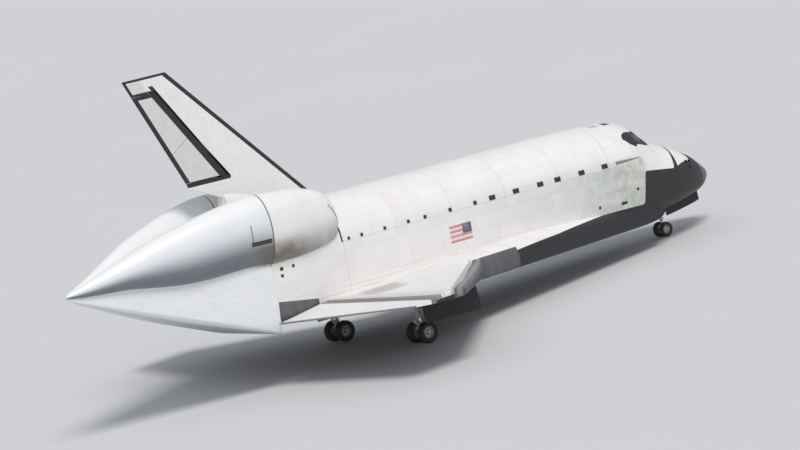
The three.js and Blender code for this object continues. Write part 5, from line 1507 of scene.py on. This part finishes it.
main_base = (MAIN_AXLE["X"], MAIN_AXLE["Y"], MAIN_AXLE["Z"])
on_main = lambda x, y, z: upright(main_base, (x, y, z))
pair("main_leg_frame", main_leg(on_main), "airframe", GEAR_PAINT, ["main_gear_leg_*"])
pair("main_leg_piston", rod(on_main(0, 0, 9), on_main(0, 0, 31), 4.0), "airframe", CHROME)
HOSE_ROUTE = [(5.4, 2.6, 96), (6.1, 2.4, 70), (6.1, 2.4, 44), (5.2, 3.2, 30), (5.4, 4.6, 18), (4.4, 6.2, 6),
              (3.6, 6.8, 4)]
hoses = [hose([on_main(x, side * y, z) for x, y, z in HOSE_ROUTE], 0.42) for side in (1, -1)]
pair("main_leg_hoses", joined(*hoses), "airframe", HOSE)
main_rims = hub_solid(on_main(0, 0, 0), MAIN_AXLE, 2.85)
pair("main_wheel_rims", main_rims, "main_wheels_*", STEEL, ["main_wheel_hubs_*"])
for name, side in (("outer", 1), ("inner", -1)):
    tyre = tyre_solid(on_main(0, side * MAIN_AXLE["spacing"] / 2, 0), MAIN_AXLE)
    pair(f"main_tyre_{name}", tyre, "main_wheels_*", RUBBER, [f"main_tyre_*_{name}"])

on_nose = lambda x, y, z: to_row((NOSE_AXLE["X"] - x, y, NOSE_AXLE["Z"] + z))
nose_leg = [
    collared_bar(on_nose, (0, 0, 26), (0, 0, 96), 3.8, [(0.08, 0.13), (0.4, 0.46), (0.88, 0.94)], 0.4, 40),
    collared_bar(on_nose, (0, -18.5, 91), (0, 18.5, 91), 3, [(0.1, 0.2), (0.8, 0.9)], 0.4, 32),
    collared_bar(on_nose, (2, 0, 38), (44, 0, 88), 2.2, [(0.05, 0.14), (0.46, 0.56), (0.88, 0.96)], 0.4, 32),
    collared_bar(on_nose, (44, -18.5, 88), (44, 18.5, 88), 2.4, [(0.42, 0.58)], 0.4, 32),
    cross_pin(on_nose, 23, 63.5, 3.2, 2, 28)]
piece("nose_leg_frame", joined_cut(nose_leg), "airframe", GEAR_PAINT, ["nose_gear_strut"])
fork = [rod(on_nose(0, 0, 20), on_nose(0, 0, 25.4), 4.6, None, 40, 0.3),
        cross_pin(on_nose, 0, 0, 5.4, 3.6, 40, 0.3),
        rod(on_nose(0, 0, 2), on_nose(0, 0, 6), 3.2), rod(on_nose(0, 0, 5), on_nose(0, 0, 21), 2.5)]
fork = joined_cut(fork, rod(on_nose(0, -9, 0), on_nose(0, 9, 0), 2.1))
piece("nose_fork_frame", fork, "nose_fork", STEEL, ["nose_gear_fork"])
nose_centre = on_nose(0, 0, 0)
nose_rims = hub_solid(nose_centre, NOSE_AXLE, 1.9)
piece("nose_wheel_rims", nose_rims, "nose_wheels", STEEL, ["nose_wheel_hubs"])
for side, name in ((1, "left"), (-1, "right")):
    tyre = tyre_solid(nose_centre + (0, side * NOSE_AXLE["spacing"] / 2 * INCH, 0), NOSE_AXLE)
    piece(f"nose_tyre_rubber_{name}", tyre, "nose_wheels", RUBBER, [f"nose_tyre_{name}"])

# Gear doors and wells

def leaning_plate(stations, hinge, y, lean, s0, s1, t0, t1):
    """Part of a hanging door: over stations X whose hinge heights hinge(X) gives, s0 to s1 down the
    door, t0 to t1 outward from its inner face."""
    X = np.asarray(stations, float)
    s = np.linspace(s0, s1, 5)
    grids = []
    for t in (t1, t0):
        Y = y + s * math.sin(lean) + t
        Z = hinge(X)[:, None] - s * math.cos(lean)
        grids.append(grid(X[:, None], Y, Z))
    return between(*grids)


def door_frame(x0, x1, hinge, y, lean, drop, thick, ribs):
    """Rim and cross ribs on the inner side of a gear door."""
    along = np.linspace(x0 + 0.6, x1 - 0.6, 9)
    parts = [leaning_plate(along, hinge, y, lean, s, s + 2.2, 0.05, thick) for s in (0.8, drop - 3)]
    parts += [leaning_plate(np.linspace(X, X + 2.2, 2), hinge, y, lean, 0.8, drop - 0.8, 0.05, thick)
              for X in np.linspace(x0 + 0.6, x1 - 2.8, ribs)]
    return joined(*parts)


MAIN_DOOR_X, MAIN_DOOR_Y, MAIN_DOOR_DROP = (1042, 1190), 166.5, 56
NOSE_DOOR_Y, NOSE_DOOR_DROP = 20.6, 20


def main_hinge(X):
    """Height of the main door's edge, one inch more at the rear than in front."""
    return 268.9 + (np.asarray(X) - MAIN_DOOR_X[0]) / (MAIN_DOOR_X[1] - MAIN_DOOR_X[0])


main_lean = math.radians(12)
stations = np.linspace(*MAIN_DOOR_X, 19)
main_door = leaning_plate(stations, main_hinge, MAIN_DOOR_Y, main_lean, 0, MAIN_DOOR_DROP, 0.9, 2)
pair("main_door_skin", main_door, "airframe", BLACK_TILE, ["main_gear_door_*"])
main_ribs = door_frame(*MAIN_DOOR_X, main_hinge, MAIN_DOOR_Y, main_lean, MAIN_DOOR_DROP, 0.92, 8)
pair("main_door_ribs", main_ribs, "airframe", GEAR_PAINT)

nose_lean = math.radians(8)


def nose_hinge(X):
    """Height of the nose door's edge: just above the underside at the door's distance from the middle."""
    bottom, mid, _, width, _, below = body_rows(np.asarray(X, float))
    return mid - (mid - bottom) * (1 - (NOSE_DOOR_Y / width) ** below) ** (1 / below) + 0.5


stations = np.linspace(284, 381, 25)
nose_door = leaning_plate(stations, nose_hinge, NOSE_DOOR_Y, nose_lean, 0, NOSE_DOOR_DROP, 0.6, 1.5)
nose_door = cut(nose_door, ("-", body_grown))
pair("nose_door_skin", nose_door, "airframe", BLACK_TILE, ["nose_gear_door_*"])
# Ribs across the door and along it. Rows: stations, then how far down the door they start and end
nose_ribs = [(np.linspace(X, X + 1.4, 2), 3, 19.4) for X in np.linspace(285, 378.5, 8)]
nose_ribs += [(np.linspace(285, 380, 13), s, s + 1.2) for s in (3, 18.2)]
nose_ribs = joined(*[leaning_plate(X, nose_hinge, NOSE_DOOR_Y, nose_lean, s0, s1, 0.05, 0.62)
                     for X, s0, s1 in nose_ribs])
pair("nose_door_ribs", nose_ribs, "airframe", GEAR_PAINT)


def well_lining(x0, x1, y0, y1, top, low, ribs, depth):
    """Roof sheet, roof ribs and stringers and a sheet on each of the two walls along X of a wheel
    well, just off its faces. Low is the height of the walls' lower edge."""
    roof = top - 0.8
    parts = [box(x0 + 0.3, x1 - 0.3, y0 + 0.3, y1 - 0.3, roof, top - 0.3)]
    parts += [box(X, X + 1, y0 + 1, y1 - 1, roof - depth, top - 0.75)
              for X in np.linspace(x0 + 1, x1 - 2, ribs)]
    parts += [box(x0 + 1, x1 - 1, y, y + 0.7, roof - depth * 0.7, top - 0.75)
              for y in np.linspace(y0 + 2, y1 - 2.7, 4)]
    for y, inner in ((y0 + 0.3, y0 + 0.75), (y1 - 0.3, y1 - 0.75)):
        parts.append(box(x0 + 0.3, x1 - 0.3, min(y, inner), max(y, inner), low, top - 0.85))
    return joined(*parts)


main_lining = well_lining(*MAIN_WELL, 274, 9, 2)
pair("main_well_lining", main_lining, "airframe", PRIMER)
nose_lining = well_lining(*NOSE_WELL, 300, 8, 1.2)
piece("nose_well_lining", nose_lining, "airframe", PRIMER)

# CAD pieces that keep their shape
CAD_LOOKS = {"flight_deck_floor": CABIN_GREY, "instrument_panel": CABIN_GREY, "crew_seat_left": CABIN_GREY,
             "crew_seat_right": CABIN_GREY, "main_engine_block": ENGINE_METAL}
for name, look in CAD_LOOKS.items():
    NODES[name].data.materials.clear()
    NODES[name].data.materials.append(look)


# Floor, light and camera

def build_floor(g):
    """Pale grey in two close shades."""
    patch = g.noise(g.add("ShaderNodeTexCoord", out="Object"), 0.12, 4)
    return g.mix(patch, (0.575, 0.585, 0.60), (0.615, 0.625, 0.64)), g.blend(patch, 0.75, 0.9), None, 0


FLOOR_REACH = 4000.0
corners = np.array([(-1, -1, 0), (1, -1, 0), (1, 1, 0), (-1, 1, 0)]) * FLOOR_REACH
floor = bpy.data.objects.new("floor", mesh_of((corners, [[0, 1, 2, 3]]), "floor"))
floor.data.materials.append(material("floor_paint", build_floor))
scene.collection.objects.link(floor)

world = bpy.data.worlds.new("soft_studio")
world.use_nodes = True
world.node_tree.nodes["Background"].inputs["Color"].default_value = (0.86, 0.90, 0.96, 1)
world.node_tree.nodes["Background"].inputs["Strength"].default_value = 0.5
scene.world = world


def sun(name, toward, strength, colour, spread):
    """Sun lamp that shines from the direction toward, given in the row frame."""
    data = bpy.data.lights.new(name, "SUN")
    data.energy, data.color, data.angle = strength, colour, math.radians(spread)
    lamp = bpy.data.objects.new(name, data)
    lamp.rotation_euler = Vector(toward).to_track_quat("Z", "Y").to_euler()
    scene.collection.objects.link(lamp)


sun("key_light", (-0.17, -0.5, 0.85), 2.15, (1.0, 0.965, 0.935), 20)
sun("fill_light", (-0.6, -0.7, 0.3), 0.5, (1.0, 0.985, 0.975), 60)

# Camera at the photograph's viewing angle. Angles of the direction towards it and of its roll are in
# the airframe's axes; the frame is closer on the object than the photograph's
AZIMUTH, ELEVATION, ROLL = (math.radians(angle) for angle in (231.72, 7.34, -9.68))
CAMERA_DISTANCE = 12000 * INCH
LENS = 262.0


def in_row(vector):
    """Direction in the airframe's axes (forward, port, up) to the row frame."""
    x, y, z = vector
    return Vector((x * COS + z * SIN, y, z * COS - x * SIN))


level = math.cos(ELEVATION)
back = Vector((level * math.cos(AZIMUTH), level * math.sin(AZIMUTH), math.sin(ELEVATION)))
right = Vector((0, 0, 1)).cross(back).normalized()
up = back.cross(right)
right, up = right * math.cos(ROLL) + up * math.sin(ROLL), up * math.cos(ROLL) - right * math.sin(ROLL)
place = Vector(to_row((1000, 0, 400))) + in_row(back) * CAMERA_DISTANCE
aim = Vector(to_row((1075, 0, 395)))
back_row = (place - aim).normalized()
right_row = in_row(up).cross(back_row).normalized()
up_row = back_row.cross(right_row)
camera_data = bpy.data.cameras.new("camera")
camera_data.lens, camera_data.sensor_width = LENS, 36
camera_data.clip_start, camera_data.clip_end = 1, 12000
camera = bpy.data.objects.new("camera", camera_data)
camera.matrix_world = Matrix((
    (right_row.x, up_row.x, back_row.x, place.x), (right_row.y, up_row.y, back_row.y, place.y),
    (right_row.z, up_row.z, back_row.z, place.z), (0, 0, 0, 1)))
scene.collection.objects.link(camera)
scene.camera = camera
scene.view_settings.view_transform = "Standard"
